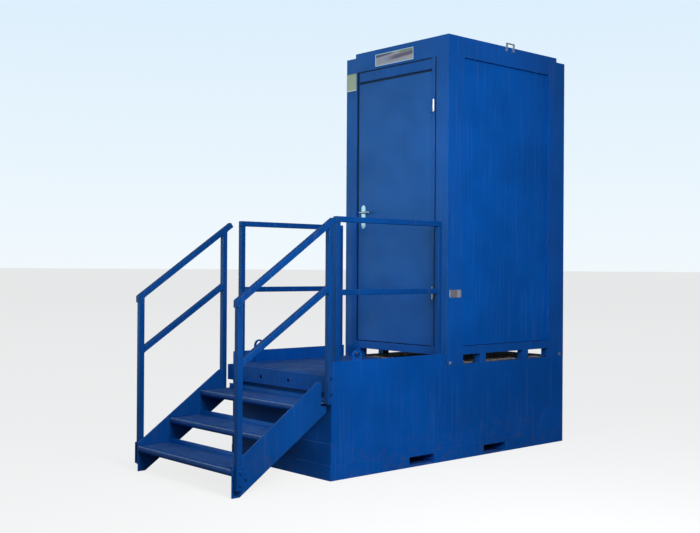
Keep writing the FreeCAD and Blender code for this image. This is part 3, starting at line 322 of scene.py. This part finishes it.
def name_plate_print():
    """Plain printed plate: a beige-grey ground with soft purple and green fields, and nothing that reads."""
    s = Shader("name_plate_print", (0.34, 0.31, 0.33), 0.4, metallic=0.1)
    x = s.part(s.place, 0)
    z = s.part(s.place, 2)
    paint = s.mix(s.span(s.noise(25.0, 3.0), 0.35, 0.65), (0.38, 0.33, 0.32), (0.3, 0.31, 0.42))
    slope = s.math("MULTIPLY", x, 0.06)
    level = s.math("SUBTRACT", s.math("SUBTRACT", z, slope), PLATE_BOTTOM)
    band = s.math("MULTIPLY", s.span(level, 0.024, 0.039), s.span(level, 0.074, 0.059))
    paint = s.mix(s.math("MULTIPLY", band, s.span(x, -0.13, 0.02, 0.1, 0.9)), paint, (0.09, 0.06, 0.12))
    corner = s.math("MULTIPLY", s.span(x, 0.02, 0.08), s.span(level, 0.067, 0.075))
    paint = s.mix(corner, paint, (0.15, 0.2, 0.1))
    edge = s.math("MULTIPLY", s.span(x, 0.0, -0.05), s.span(level, 0.079, 0.085))
    paint = s.mix(edge, paint, (0.1, 0.07, 0.12))
    s.colour(paint)
    return s.material


def printed(name, ground, bands, axis, metallic, roughness=0.35):
    """Plain printed plate: (low, high, colour) bands across it, along one axis in metres."""
    s = Shader(name, ground, roughness, metallic=metallic)
    along = s.part(s.place, axis)
    paint = s.mix(s.span(s.noise(9.0, 4.0), 0.3, 0.7), ground, tuple(0.93 * c for c in ground))
    for low, high, colour in bands:
        inside = s.math("MULTIPLY", s.math("GREATER_THAN", along, low), s.math("LESS_THAN", along, high))
        paint = s.mix(inside, paint, colour)
    s.colour(paint)
    return s.material


materials = {
    "tank_paint": enamel("tank_enamel", BLUE, 0.42, dust=0.4, wear=0.5, grime_top=0.5),
    "stair_paint": enamel("stair_enamel_painted_shade", STAIR_BLUE_PAINTED_SHADE, 0.42, dust=0.5, wear=0.8, grime_top=0.4, specular=0.3),
    "rail_paint": enamel("rail_enamel_painted_shade", RAIL_BLUE_PAINTED_SHADE, 0.36, dust=0.1, wear=0.0, specular=0.3),
    "cabin_paint": enamel("cabin_enamel", BLUE, 0.4, dust=0.3, wear=0.4, specular=0.45),
    "wall_paint": enamel("wall_coating_painted_light", WALL_BLUE_PAINTED_LIGHT, 0.42, dust=0.1, wear=0.0),
    "door_paint": enamel("door_coating_painted_sheen", DOOR_BLUE_PAINTED_SHEEN, 0.38, dust=0.2, wear=0.2, streaks=0.05, specular=0.5),
    "lining": simple("white_lining", (0.72, 0.73, 0.72), 0.35, grain=30.0, variation=0.04),
    "galvanised_steel": galvanised(),
    "bolt_steel": simple("zinc_bolts", (0.3, 0.32, 0.36), 0.4, metallic=0.7, variation=0.25),
    "stainless_steel": brushed("stainless", (0.66, 0.66, 0.65)),
    "plate_aluminium": brushed("aluminium", (0.62, 0.63, 0.65), roughness=0.35),
    # navy rubber, tinted like the shade in the door's grooves: it also paints that shade
    "seal_rubber": simple("navy_rubber_painted_shade", (0.003, 0.01, 0.04), 0.6, grain=200.0),
    "tray_plastic": simple("tray_plastic", (0.68, 0.69, 0.68), 0.35, variation=0.05),
    "lamp_diffuser": simple("opal_diffuser", (0.85, 0.85, 0.82), 0.3, variation=0.03),
    "valve_brass": simple("brass", (0.6, 0.43, 0.18), 0.3, metallic=1.0, variation=0.2),
    "handle_paint": simple("black_enamel", (0.02, 0.02, 0.02), 0.35),
    "signal_green": simple("green_enamel", (0.0, 0.22, 0.07), 0.35, variation=0.1),
}

# the posts carry the painted highlight on their rounded upright corners
post_enamel_painted_highlight = enamel("post_enamel_painted_highlight", BLUE, 0.4, dust=0.3, wear=0.0, specular=0.45, painted_corner_highlight=True)
tread_enamel_painted_shade = worn_tread()
rusty_steel = corroded()
zinc = simple("zinc_plate", (0.55, 0.57, 0.6), 0.42, metallic=0.6, variation=0.1)
label_print_and_painted_shadow_bands = (
    (LABEL_Z[0], LABEL_Z[0] + 0.011, (0.6, 0.62, 0.5)),
    # dark band along the top, under the fascia: a painted shadow line
    (LABEL_Z[1] - 0.009, LABEL_Z[1], (0.2, 0.26, 0.2)),
)
label_print_and_painted_shadow = printed("label_print_and_painted_shadow", (0.42, 0.47, 0.3), label_print_and_painted_shadow_bands, axis=2, metallic=0.0)
data_bands = (
    (DATA_Y[0], DATA_Y[0] + 0.006, (0.5, 0.5, 0.52)),
    (DATA_Y[0] + 0.085, DATA_Y[1] - 0.008, (0.3, 0.33, 0.38)),
)
data_print = printed("data_print", (0.2, 0.19, 0.21), data_bands, axis=1, metallic=0.3)
banded_plate = name_plate_print()


# ---------------------------------------------------------------- CAD nodes

EDGE_WIDTHS = {
    "corner_post": 0.005,
    "roof_rails": 0.003,
    "escutcheons": 0.0008,
}
EDGE_WIDTH = 0.0012
WELD_REACH = 1e-5
SHARP = math.radians(35)


def soften(piece, width, segments=2):
    """Rounds the sharp edges of a piece."""
    bevel = piece.modifiers.new("Bevel", "BEVEL")
    bevel.width = width
    bevel.segments = segments
    bevel.limit_method = "ANGLE"
    bevel.angle_limit = SHARP
    bevel.harden_normals = True


def dress_cad_nodes():
    """Gives every CAD node its material, and a fine rounding of its edges."""
    for part in frame["record"]["subparts"]:
        name = part["node"]
        shape = nodes[name]
        is_post = name.startswith("corner_post")
        shape.data.materials[0] = post_enamel_painted_highlight if is_post else materials[part["material_slot"]]
        weld = shape.modifiers.new("Weld", "WELD")
        weld.merge_threshold = WELD_REACH
        widths = [width for start, width in EDGE_WIDTHS.items() if name.startswith(start)]
        soften(shape, widths[0] if widths else EDGE_WIDTH)


dress_cad_nodes()


# ---------------------------------------------------------------- meshes of the added pieces


class Solid:
    """A mesh built up from faces that share their corner points."""

    def __init__(self):
        self.points = []
        self.index = {}
        self.faces = []

    def point(self, place):
        key = tuple(round(value, 6) for value in place)
        if key not in self.index:
            self.index[key] = len(self.points)
            self.points.append(key)
        return self.index[key]

    def face(self, *places):
        self.faces.append([self.point(place) for place in places])

    def box(self, x, y, z):
        """Six faces with their own corners, so that boxes may touch."""
        corners = [(x[i], y[j], z[k]) for i in (0, 1) for j in (0, 1) for k in (0, 1)]
        start = len(self.points)
        self.points.extend(corners)
        for quad in ((0, 1, 3, 2), (4, 6, 7, 5), (0, 4, 5, 1), (2, 3, 7, 6), (0, 2, 6, 4), (1, 5, 7, 3)):
            self.faces.append([start + corner for corner in quad])

    def prism(self, outline, x):
        """Flat outline of (y, z) corners, between two x values."""
        start = len(self.points)
        count = len(outline)
        for value in x:
            self.points.extend((value, y, z) for y, z in outline)
        self.faces.append([start + i for i in range(count)])
        self.faces.append([start + count + i for i in reversed(range(count))])
        for i in range(count):
            j = (i + 1) % count
            self.faces.append([start + i, start + count + i, start + count + j, start + j])

    def bead(self, a, b, radius=0.0022):
        """Uneven weld bead between two points."""
        run = Vector(b) - Vector(a)
        steps = max(4, int(run.length / 0.006))
        profile = [(radius * dice.uniform(0.8, 1.2), run.length * i / steps) for i in range(steps + 1)]
        self.turned(profile, a, run, sides=8)

    def turned(self, profile, centre, axis, sides=32):
        """Surface of revolution about an axis through centre, from (radius, height) points."""
        along = Vector(axis).normalized()
        across = along.orthogonal().normalized()
        other = along.cross(across)
        rings = []
        for radius, height in profile:
            ring = []
            for i in range(sides):
                angle = 2 * math.pi * i / sides
                offset = radius * (math.cos(angle) * across + math.sin(angle) * other)
                ring.append(tuple(Vector(centre) + height * along + offset))
            rings.append(ring)
        start = len(self.points)
        for ring in rings:
            self.points.extend(ring)
        for row in range(len(rings) - 1):
            for i in range(sides):
                a = start + row * sides + i
                b = start + row * sides + (i + 1) % sides
                self.faces.append([a, b, b + sides, a + sides])
        self.faces.append([start + i for i in reversed(range(sides))])
        last = start + (len(rings) - 1) * sides
        self.faces.append([last + i for i in range(sides)])

    def strip(self, profile, stations, place):
        """Quads along a line of (a, b) points, swept over the stations; place(station, a, b) is a corner."""
        for here, after in zip(stations, stations[1:]):
            for (a0, b0), (a1, b1) in zip(profile, profile[1:]):
                self.face(place(here, a0, b0), place(after, a0, b0),
                          place(after, a1, b1), place(here, a1, b1))

    def piece(self, name, slot, body="unit", stands_for=(), material=None, smooth=False, edge=None,
              skin=None):
        """Makes the object, dresses it for a material slot and hangs it on a body.

        edge rounds its edges by that width; skin thickens an open sheet, which keeps its own normals.
        """
        mesh = bpy.data.meshes.new(name)
        mesh.from_pydata(self.points, [], self.faces)
        mesh.validate()
        if not skin:
            work = bmesh.new()
            work.from_mesh(mesh)
            bmesh.ops.recalc_face_normals(work, faces=work.faces)
            work.to_mesh(mesh)
            work.free()
        mesh.materials.append(material or materials[slot])
        if smooth:
            mesh.shade_smooth()
            mesh.set_sharp_from_angle(angle=SHARP)
        made = bpy.data.objects.new(name, mesh)
        bpy.context.scene.collection.objects.link(made)
        if skin:
            solidify = made.modifiers.new("Solidify", "SOLIDIFY")
            solidify.thickness = skin
            solidify.offset = -1.0
        if edge:
            soften(made, edge, 3)
        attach(made, body)
        if stands_for:
            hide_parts(*stands_for)
        return made


# ---------------------------------------------------------------- rails

LEFT, RIGHT = -1, 1
TUBE = 0.04
HALF_TUBE = TUBE / 2
RAIL_EDGE = 0.005
STAIR_SLOPE = TREAD_RISE / TREAD_GOING
HALF_UPRIGHT = HALF_TUBE * math.hypot(1, STAIR_SLOPE)
RAIL_END = (-1.324, 1.7997)
LOWER_POST = (-2.13, -2.09)
UPPER_POSTS = {LEFT: (-1.409, -1.369), RIGHT: (-1.377, -1.337)}
UPPER_POST_FOOT = 0.536
MIDDLE_RAILS = {LEFT: (0.86, 1.335), RIGHT: (0.845, 1.339)}
FOOT_PAD_Y = (-2.138, -2.082)
FOOT_PAD_Z = (0.052, 0.205)
FOOT_PAD_THICKNESS = 0.008
MIDDLE_BAR = (1.28, 1.32)
DECK_GAP = 0.0005


def underside(y):
    """Height of the underside of the stair's hand rail."""
    return RAIL_END[1] + STAIR_SLOPE * (y - RAIL_END[0]) - HALF_UPRIGHT


def make_handrail(node, side):
    """Sloping hand rail on two posts with a middle rail, cut to fit and welded."""
    solid = Solid()
    low_corner, high_corner = CORNERS[node]
    inner = high_corner[0] if side == LEFT else low_corner[0]
    outer = inner + side * TUBE
    x = (inner, outer)
    along = Vector((1, STAIR_SLOPE)).normalized() * HALF_TUBE
    end = Vector(RAIL_END)
    across = Vector((-along.y, along.x))
    nose_y = low_corner[1]
    nose = underside(nose_y)
    solid.prism([(nose_y, nose), tuple(end - across), tuple(end + across),
                 (nose_y, nose + 2 * HALF_UPRIGHT)], x)
    beads = Solid()
    upper_post = UPPER_POSTS[side]
    for (y0, y1), foot in ((LOWER_POST, low_corner[2]), (upper_post, UPPER_POST_FOOT)):
        solid.prism([(y0, foot), (y1, foot), (y1, underside(y1)), (y0, underside(y0))], x)
        for face in x:
            beads.bead((face, y0, underside(y0)), (face, y1, underside(y1)))
    low, high = MIDDLE_RAILS[side]
    low_y, high_y = LOWER_POST[1] - HALF_TUBE, upper_post[0] + HALF_TUBE
    slope = (high - low) / (high_y - low_y)
    half = HALF_TUBE * math.hypot(1, slope)
    ends = [(y, low + slope * (y - low_y)) for y in (LOWER_POST[1], upper_post[0])]
    (y0, z0), (y1, z1) = ends
    solid.prism([(y0, z0 - half), (y1, z1 - half), (y1, z1 + half), (y0, z0 + half)], x)
    for y, z in ends:
        for face in x:
            beads.bead((face, y, z - half), (face, y, z + half))
    (y0, y1), (z0, z1) = FOOT_PAD_Y, FOOT_PAD_Z
    solid.prism([(y0, z0), (y1, z0), (y1, z1), (y0, z1)], (outer, outer + side * FOOT_PAD_THICKNESS))
    solid.piece(node + "_tubes", "rail_paint", stands_for=(node,), edge=RAIL_EDGE)
    beads.piece(node + "_welds", "rail_paint", smooth=True)


def make_platform_rail(node):
    """Level rails on two posts inside the kick plate."""
    solid = Solid()
    beads = Solid()
    low, high = CORNERS[node]
    x = sorted((low[0], high[0]), key=abs)
    front = (low[1], low[1] + TUBE)
    rear = (high[1] - TUBE, high[1])
    foot = low[2] + DECK_GAP
    top = high[2]
    under = top - TUBE
    bar_low, bar_high = MIDDLE_BAR
    solid.prism([(front[0], under), (rear[1], under), (rear[1], top), (front[0], top)], x)
    solid.prism([(front[1], bar_low), (rear[0], bar_low), (rear[0], bar_high), (front[1], bar_high)], x)
    for y0, y1 in (front, rear):
        solid.prism([(y0, foot), (y1, foot), (y1, under), (y0, under)], x)
        for face in x:
            beads.bead((face, y0, under), (face, y1, under))
    for y in (front[1], rear[0]):
        for face in x:
            beads.bead((face, y, bar_low), (face, y, bar_high))
    solid.piece(node + "_tubes", "rail_paint", stands_for=(node,), edge=RAIL_EDGE)
    beads.piece(node + "_welds", "rail_paint", smooth=True)


for side_name, side in (("left", LEFT), ("right", RIGHT)):
    make_handrail("stair_handrail_" + side_name, side)
    make_platform_rail("platform_rail_" + side_name)


# ---------------------------------------------------------------- treads

TREAD_SKIN = 0.004
TREAD_NOSE = 0.04
TREAD_LIP = 0.035
TREAD_BEND = 0.006
HOLE_PITCH = 0.018
HOLE_RADIUS = 0.0042
HOLE_COLUMNS = 63
HOLE_ROWS = 11
HOLE_START = 0.036


def bend(centre, radius, start, end, steps=4):
    """Points of an arc in a plane, between two angles in degrees."""
    turns = [math.radians(start + (end - start) * i / steps) for i in range(steps + 1)]
    return [(centre[0] + radius * math.cos(t), centre[1] + radius * math.sin(t)) for t in turns]


def punched_cell(solid, x, y, top):
    """One square of sheet with an eight-sided hole, from its low corner."""
    half = HOLE_PITCH / 2
    cx, cy = x + half, y + half
    reach = ((-1, -1), (0, -1), (1, -1), (1, 0), (1, 1), (0, 1), (-1, 1), (-1, 0))
    sides = len(reach)
    rim = []
    hole = []
    for a, b in reach:
        rim.append((cx + a * half, cy + b * half, top))
        away = math.hypot(a, b)
        hole.append((cx + HOLE_RADIUS * a / away, cy + HOLE_RADIUS * b / away, top))
    for i in range(sides):
        j = (i + 1) % sides
        solid.face(rim[i], rim[j], hole[j], hole[i])


def make_tread(name):
    """Folded tread with staggered round holes, a rolled nosing and an upstand behind."""
    low, high = CORNERS[name]
    side = high[0]
    front = low[1]
    back = high[1] - TREAD_SKIN
    top = high[2] - TREAD_LIP
    half = HOLE_PITCH / 2
    low_x = -HOLE_COLUMNS * half
    columns = [low_x + half * i for i in range(2 * HOLE_COLUMNS + 1)]
    stations = [-side] + columns + [side]
    low_y = front + HOLE_START
    high_y = low_y + HOLE_ROWS * HOLE_PITCH
    solid = Solid()
    nose = [(front, top - TREAD_NOSE), (front, top - TREAD_NOSE / 2)]
    nose += bend((front + TREAD_BEND, top - TREAD_BEND), TREAD_BEND, 180, 90)
    nose.append((low_y, top))
    lip = [(high_y, top)] + bend((back - TREAD_BEND, top + TREAD_BEND), TREAD_BEND, -90, 0)
    lip.append((back, top + TREAD_LIP))
    for profile in (nose, lip):
        solid.strip(profile, stations, lambda x, y, z: (x, y, z))
    for row in range(HOLE_ROWS):
        y = low_y + row * HOLE_PITCH
        shifted = row % 2
        start = low_x + half * shifted
        for column in range(HOLE_COLUMNS - shifted):
            punched_cell(solid, start + column * HOLE_PITCH, y, top)
        for a, b in ((-side, low_x), (-low_x, side)):
            for y0 in (y, y + half):
                solid.face((a, y0, top), (b, y0, top), (b, y0 + half, top), (a, y0 + half, top))
        if shifted:
            for a in (low_x, -low_x - half):
                for y0 in (y, y + half):
                    solid.face((a, y0, top), (a + half, y0, top),
                               (a + half, y0 + half, top), (a, y0 + half, top))
    solid.piece(name + "_sheet", "stair_paint", stands_for=(name,), material=tread_enamel_painted_shade,
                smooth=True, skin=TREAD_SKIN)


for tread_name in ("tread_lower", "tread_middle", "tread_upper"):
    make_tread(tread_name)


# ---------------------------------------------------------------- wall panels

WALL_REVEAL = 0.007
WALL_MARGIN = 0.002
WALL_SKIN = 0.001
RIB_PITCH = 0.0333
RIB_GROOVE = 0.01
RIB_DEPTH = 0.0005
PANEL_DEPTH = 0.04
CORE_SETBACK = 0.009
LINING = 0.003


def ribbed_profile(start, end):
    """(along, depth) points of fine upright grooves in a flat skin."""
    count = int((end - start) / RIB_PITCH)
    margin = ((end - start) - count * RIB_PITCH) / 2
    points = [(start, 0.0)]
    for i in range(count + 1):
        middle = start + margin + i * RIB_PITCH
        if start + RIB_GROOVE < middle < end - RIB_GROOVE:
            points += [(middle - RIB_GROOVE / 2, 0.0), (middle - RIB_GROOVE / 5, RIB_DEPTH),
                       (middle + RIB_GROOVE / 5, RIB_DEPTH), (middle + RIB_GROOVE / 2, 0.0)]
    return points + [(end, 0.0)]


def make_wall(node, outward, along_x=False):
    """Sandwich panel: ribbed outer skin, plain core set back behind it, and a white lining inside."""
    low, high = CORNERS[node]
    face_axis = 1 if along_x else 0
    span_axis = 1 - face_axis
    span = (low[span_axis], high[span_axis])
    face = (high if outward > 0 else low)[face_axis]
    bottom, top = low[2], high[2]

    def place(station, along, depth):
        out = face - outward * depth
        return (along, out, station) if along_x else (out, along, station)

    def plain(name, slot, a, b):
        across = sorted((face - outward * a, face - outward * b))
        solid = Solid()
        if along_x:
            solid.box(span, across, (bottom, top))
        else:
            solid.box(across, span, (bottom, top))
        solid.piece(name, slot)

    skin = Solid()
    profile = ribbed_profile(span[0] + WALL_MARGIN, span[1] - WALL_MARGIN)
    if (outward > 0) == along_x:
        profile.reverse()
    skin.strip(profile, (top - WALL_REVEAL, bottom + WALL_REVEAL), place)
    skin.piece(node + "_skin", "wall_paint", stands_for=(node,), skin=WALL_SKIN)
    plain(node + "_core", "wall_paint", CORE_SETBACK, PANEL_DEPTH - LINING)
    plain(node + "_lining", "lining", PANEL_DEPTH - LINING, PANEL_DEPTH)


make_wall("wall_panel_right", outward=1)
make_wall("wall_panel_left", outward=-1)
make_wall("wall_panel_rear", outward=1, along_x=True)


# ---------------------------------------------------------------- grating in the seat

GRATE_INSET = (0.074, 0.08)
GRATE_PITCH = 0.036
GRATE_BAR = 0.004
GRATE_DEPTH = 0.006
CROSS_BAR_DEPTH = 0.005
DRAIN_CLEAR = 0.045


def make_grating():
    """Open bar grating on the tank top under the cabin, cut around the drain pipe."""
    solid = Solid()
    low, high = CORNERS["cabin_seat"]
    side = high[0] - GRATE_INSET[0]
    front, back = low[1] + GRATE_INSET[1], high[1] - GRATE_INSET[1]
    bottom = low[2]
    drain_low, drain_high = CORNERS["floor_drain"]
    drain_y = (drain_low[1] + drain_high[1]) / 2
    rows = int((back - front) / GRATE_PITCH)
    for i in range(rows + 1):
        y = front + i * GRATE_PITCH
        spans = [(-side, side)]
        if abs(y - drain_y) < DRAIN_CLEAR:
            spans = [(-side, -DRAIN_CLEAR), (DRAIN_CLEAR, side)]
        for x in spans:
            solid.box(x, (y, y + GRATE_BAR), (bottom, bottom + GRATE_DEPTH))
    columns = int(2 * side / GRATE_PITCH)
    for i in range(columns + 1):
        x = -side + i * GRATE_PITCH
        spans = [(front, back)]
        if abs(x) < DRAIN_CLEAR:
            spans = [(front, drain_y - DRAIN_CLEAR), (drain_y + DRAIN_CLEAR, back)]
        for y in spans:
            solid.box((x, x + GRATE_BAR), y, (bottom, bottom + CROSS_BAR_DEPTH))
    solid.piece("seat_grating", "galvanised_steel", material=rusty_steel)


make_grating()


# ---------------------------------------------------------------- plates and labels


PLATE_RIM = 0.006
PLATE_THICKNESS = 0.0022
LABEL_THICKNESS = 0.0015


def make_plates():
    """Name plate with a raised rim, a label on the left post and a data plate on the right; no lettering."""
    (left, front, bottom), (right, y, top) = CORNERS["name_plate"]
    plate = Solid()
    plate.box((left, right), (y - PLATE_THICKNESS, y), (bottom, top))
    plate.piece("name_plate_face", "plate_aluminium", stands_for=("name_plate",), material=banded_plate)
    rim = Solid()
    for x in ((left, left + PLATE_RIM), (right - PLATE_RIM, right)):
        rim.box(x, (front, y), (bottom, top))
    for z in ((bottom, bottom + PLATE_RIM), (top - PLATE_RIM, top)):
        rim.box((left + PLATE_RIM, right - PLATE_RIM), (front, y), z)
    rim.piece("name_plate_rim", "plate_aluminium", edge=0.0006)
    label = Solid()
    label.box(LABEL_X, (y - LABEL_THICKNESS, y), LABEL_Z)
    label.piece("post_label", "plate_aluminium", material=label_print_and_painted_shadow)
    data = Solid()
    post_side = CORNERS["corner_post_front_right"][1][0]
    data.box((post_side, post_side + LABEL_THICKNESS), DATA_Y, DATA_Z)
    data.piece("data_plate", "plate_aluminium", material=data_print, edge=0.0005)


make_plates()


# ---------------------------------------------------------------- door shade strips: painted shade in dark rubber


GROOVE_Z = (0.867, 3.112)
GROOVE_BACK = -0.132
LATCH_GAP = (1.912, 1.954)
HEAD_SHADE_STRIPS_X = (-0.4345, 0.409)


def make_painted_shade_strips():
    """Dark navy rubber strips round the door that paint shade: in two upright grooves, the hinge side's gap
    and the head gap, and a painted shadow line under the fascia.
    """
    solid = Solid()
    for z in ((GROOVE_Z[0], LATCH_GAP[0]), (LATCH_GAP[1], GROOVE_Z[1])):
        solid.box((-0.4595, -0.4355), (-0.138, GROOVE_BACK), z)
    solid.box((0.4445, 0.4595), (-0.1475, GROOVE_BACK), GROOVE_Z)
    solid.box((0.4065, 0.409), (-0.139, -0.102), (0.872, 3.004))
    solid.box(HEAD_SHADE_STRIPS_X, (-0.126, -0.0975), (3.009, 3.0275))
    # painted shadow line under the fascia
    solid.box(HEAD_SHADE_STRIPS_X, (-0.142, -0.14), (3.104, 3.113))
    solid.piece("door_painted_shade_strips", "seal_rubber", edge=0.0005)


make_painted_shade_strips()


# ---------------------------------------------------------------- hinges

HINGE_X = 0.437
HINGE_Y = -0.16
HINGE_RADIUS = 0.008
HINGE_BOTTOMS = (1.231, 2.686)
HINGE_HALF = 0.05
HINGE_GAP = 0.0004
HINGE_ROUND = 0.003
STRAP_START = 0.386
STRAP_FACE = (-0.1544, -0.1504)
PACKER_X = (0.386, 0.4045)
PACKER_Y = (-0.1504, -0.146)
FLAG_X = (0.441, 0.444)
FLAG_BACK = -0.133


def make_hinges():
    """Zinc barrels with rounded ends on painted straps; the lower half turns with the door."""
    upper, lower, straps, flags = Solid(), Solid(), Solid(), Solid()
    r = HINGE_RADIUS
    for z in HINGE_BOTTOMS:
        middle = z + HINGE_HALF
        centre = (HINGE_X, HINGE_Y, middle)
        straight = HINGE_HALF - HINGE_ROUND
        upper.turned([(r, 0.0), (r, straight), (r * 0.7, HINGE_HALF)], centre, (0, 0, 1))
        lower.turned([(r * 0.7, -HINGE_HALF), (r, -straight), (r, -HINGE_GAP)], centre, (0, 0, 1))
        straps.box((STRAP_START, HINGE_X), STRAP_FACE, (z, middle - HINGE_GAP))
        straps.box(PACKER_X, PACKER_Y, (z, middle - HINGE_GAP))
        flags.box(FLAG_X, (HINGE_Y, FLAG_BACK), (middle, z + 2 * HINGE_HALF))
    upper.piece("hinge_barrels_upper", "stainless_steel", stands_for=("hinge_frame_leaves",),
                material=zinc, smooth=True)
    flags.piece("hinge_flags", "stainless_steel", material=materials["cabin_paint"])
    lower.piece("hinge_barrels_lower", "stainless_steel", "door", stands_for=("hinge_door_leaves",),
                material=zinc, smooth=True)
    straps.piece("hinge_straps", "stainless_steel", "door", material=materials["door_paint"], edge=0.0008)


make_hinges()


# ---------------------------------------------------------------- floor, light, camera


def make_floor():
    """A pale floor that glows a little for the camera, so that it stays near white far away."""
    mesh = bpy.data.meshes.new("floor")
    h = FLOOR_HALF_SIZE
    mesh.from_pydata([(-h, -h, 0), (h, -h, 0), (h, h, 0), (-h, h, 0)], [], [(0, 1, 2, 3)])
    floor = bpy.data.objects.new("floor", mesh)
    bpy.context.scene.collection.objects.link(floor)
    s = Shader("floor_paper", FLOOR_COLOUR, 0.9, specular=0.0)
    s.colour(s.mix(s.span(s.noise(0.6, 3.0), 0.3, 0.7), FLOOR_COLOUR, tuple(1.04 * c for c in FLOOR_COLOUR)))
    away = s.add("ShaderNodeVectorMath", operation="LENGTH")
    s.put(away.inputs[0], s.place)
    fade = s.span(away.outputs["Value"], 2.0, 40.0, *FLOOR_GLOW)
    seen = s.add("ShaderNodeLightPath").outputs["Is Camera Ray"]
    s.put(s.surface.inputs["Emission Color"], (1.0, 1.0, 1.0))
    s.put(s.surface.inputs["Emission Strength"], s.math("MULTIPLY", fade, seen))
    mesh.materials.append(s.material)


def make_sky():
    """A pale blue backdrop for the camera, and a dimmer even light from all round for the object."""
    world = bpy.data.worlds.new("studio")
    bpy.context.scene.world = world
    world.use_nodes = True
    tree = world.node_tree
    place = tree.nodes.new("ShaderNodeTexCoord")
    split = tree.nodes.new("ShaderNodeSeparateXYZ")
    ramp = tree.nodes.new("ShaderNodeValToRGB")
    tree.links.new(place.outputs["Generated"], split.inputs[0])
    tree.links.new(split.outputs["Z"], ramp.inputs["Fac"])
    low, high = ramp.color_ramp.elements
    low.position = 0.0
    low.color = (*SKY_LOW, 1)
    high.position = SKY_HIGH_AT
    high.color = (*SKY_HIGH, 1)
    around = tree.nodes.new("ShaderNodeBackground")
    around.inputs["Color"].default_value = (*AMBIENT, 1)
    seen = tree.nodes.new("ShaderNodeLightPath")
    mix = tree.nodes.new("ShaderNodeMixShader")
    tree.links.new(ramp.outputs["Color"], tree.nodes["Background"].inputs["Color"])
    tree.links.new(seen.outputs["Is Camera Ray"], mix.inputs[0])
    tree.links.new(around.outputs[0], mix.inputs[1])
    tree.links.new(tree.nodes["Background"].outputs[0], mix.inputs[2])
    tree.links.new(mix.outputs[0], tree.nodes["World Output"].inputs["Surface"])


def area_light(name, place, aim, size, power, colour=(1, 1, 1)):
    """A rectangular lamp at a place, turned towards its aim."""
    lamp = bpy.data.lights.new(name, "AREA")
    lamp.shape = "RECTANGLE"
    lamp.size, lamp.size_y = size
    lamp.energy = power
    lamp.color = colour
    holder = bpy.data.objects.new(name, lamp)
    bpy.context.scene.collection.objects.link(holder)
    holder.location = place
    holder.rotation_mode = "QUATERNION"
    holder.rotation_quaternion = (Vector(aim) - Vector(place)).to_track_quat("-Z", "Y")
    return holder


def make_camera():
    """The camera, turned by its yaw, pitch and roll."""
    camera = bpy.data.cameras.new("camera")
    camera.lens = CAMERA_LENS
    camera.sensor_width = SENSOR
    camera.clip_end = 2 * FLOOR_HALF_SIZE
    holder = bpy.data.objects.new("camera", camera)
    bpy.context.scene.collection.objects.link(holder)
    forward = Vector((
        -math.sin(CAMERA_YAW) * math.cos(CAMERA_PITCH),
        math.cos(CAMERA_YAW) * math.cos(CAMERA_PITCH),
        math.sin(CAMERA_PITCH),
    ))
    level = Vector((math.cos(CAMERA_YAW), math.sin(CAMERA_YAW), 0))
    upright = level.cross(forward)
    right = math.cos(CAMERA_ROLL) * level + math.sin(CAMERA_ROLL) * upright
    up = right.cross(forward)
    turn = Matrix((right, up, -forward)).transposed()
    holder.matrix_world = Matrix.Translation(CAMERA_PLACE) @ turn.to_4x4()
    bpy.context.scene.camera = holder


make_camera()
make_floor()
make_sky()
area_light("key", (3.9, -2.3, 2.9), (0.4, -0.1, 1.5), (2.2, 2.2), 212.0)
area_light("front", (2.0, -13.0, 6.5), (0.0, 0.0, 2.2), (5.0, 4.0), 330.0)
glare = area_light("glare", (-6.0, -5.2, 2.6), (0.0, 0.0, 1.8), (9.0, 6.0), 210.0, GLARE_COLOUR)
glare.visible_diffuse = False
bpy.context.scene.view_settings.view_transform = "Standard"
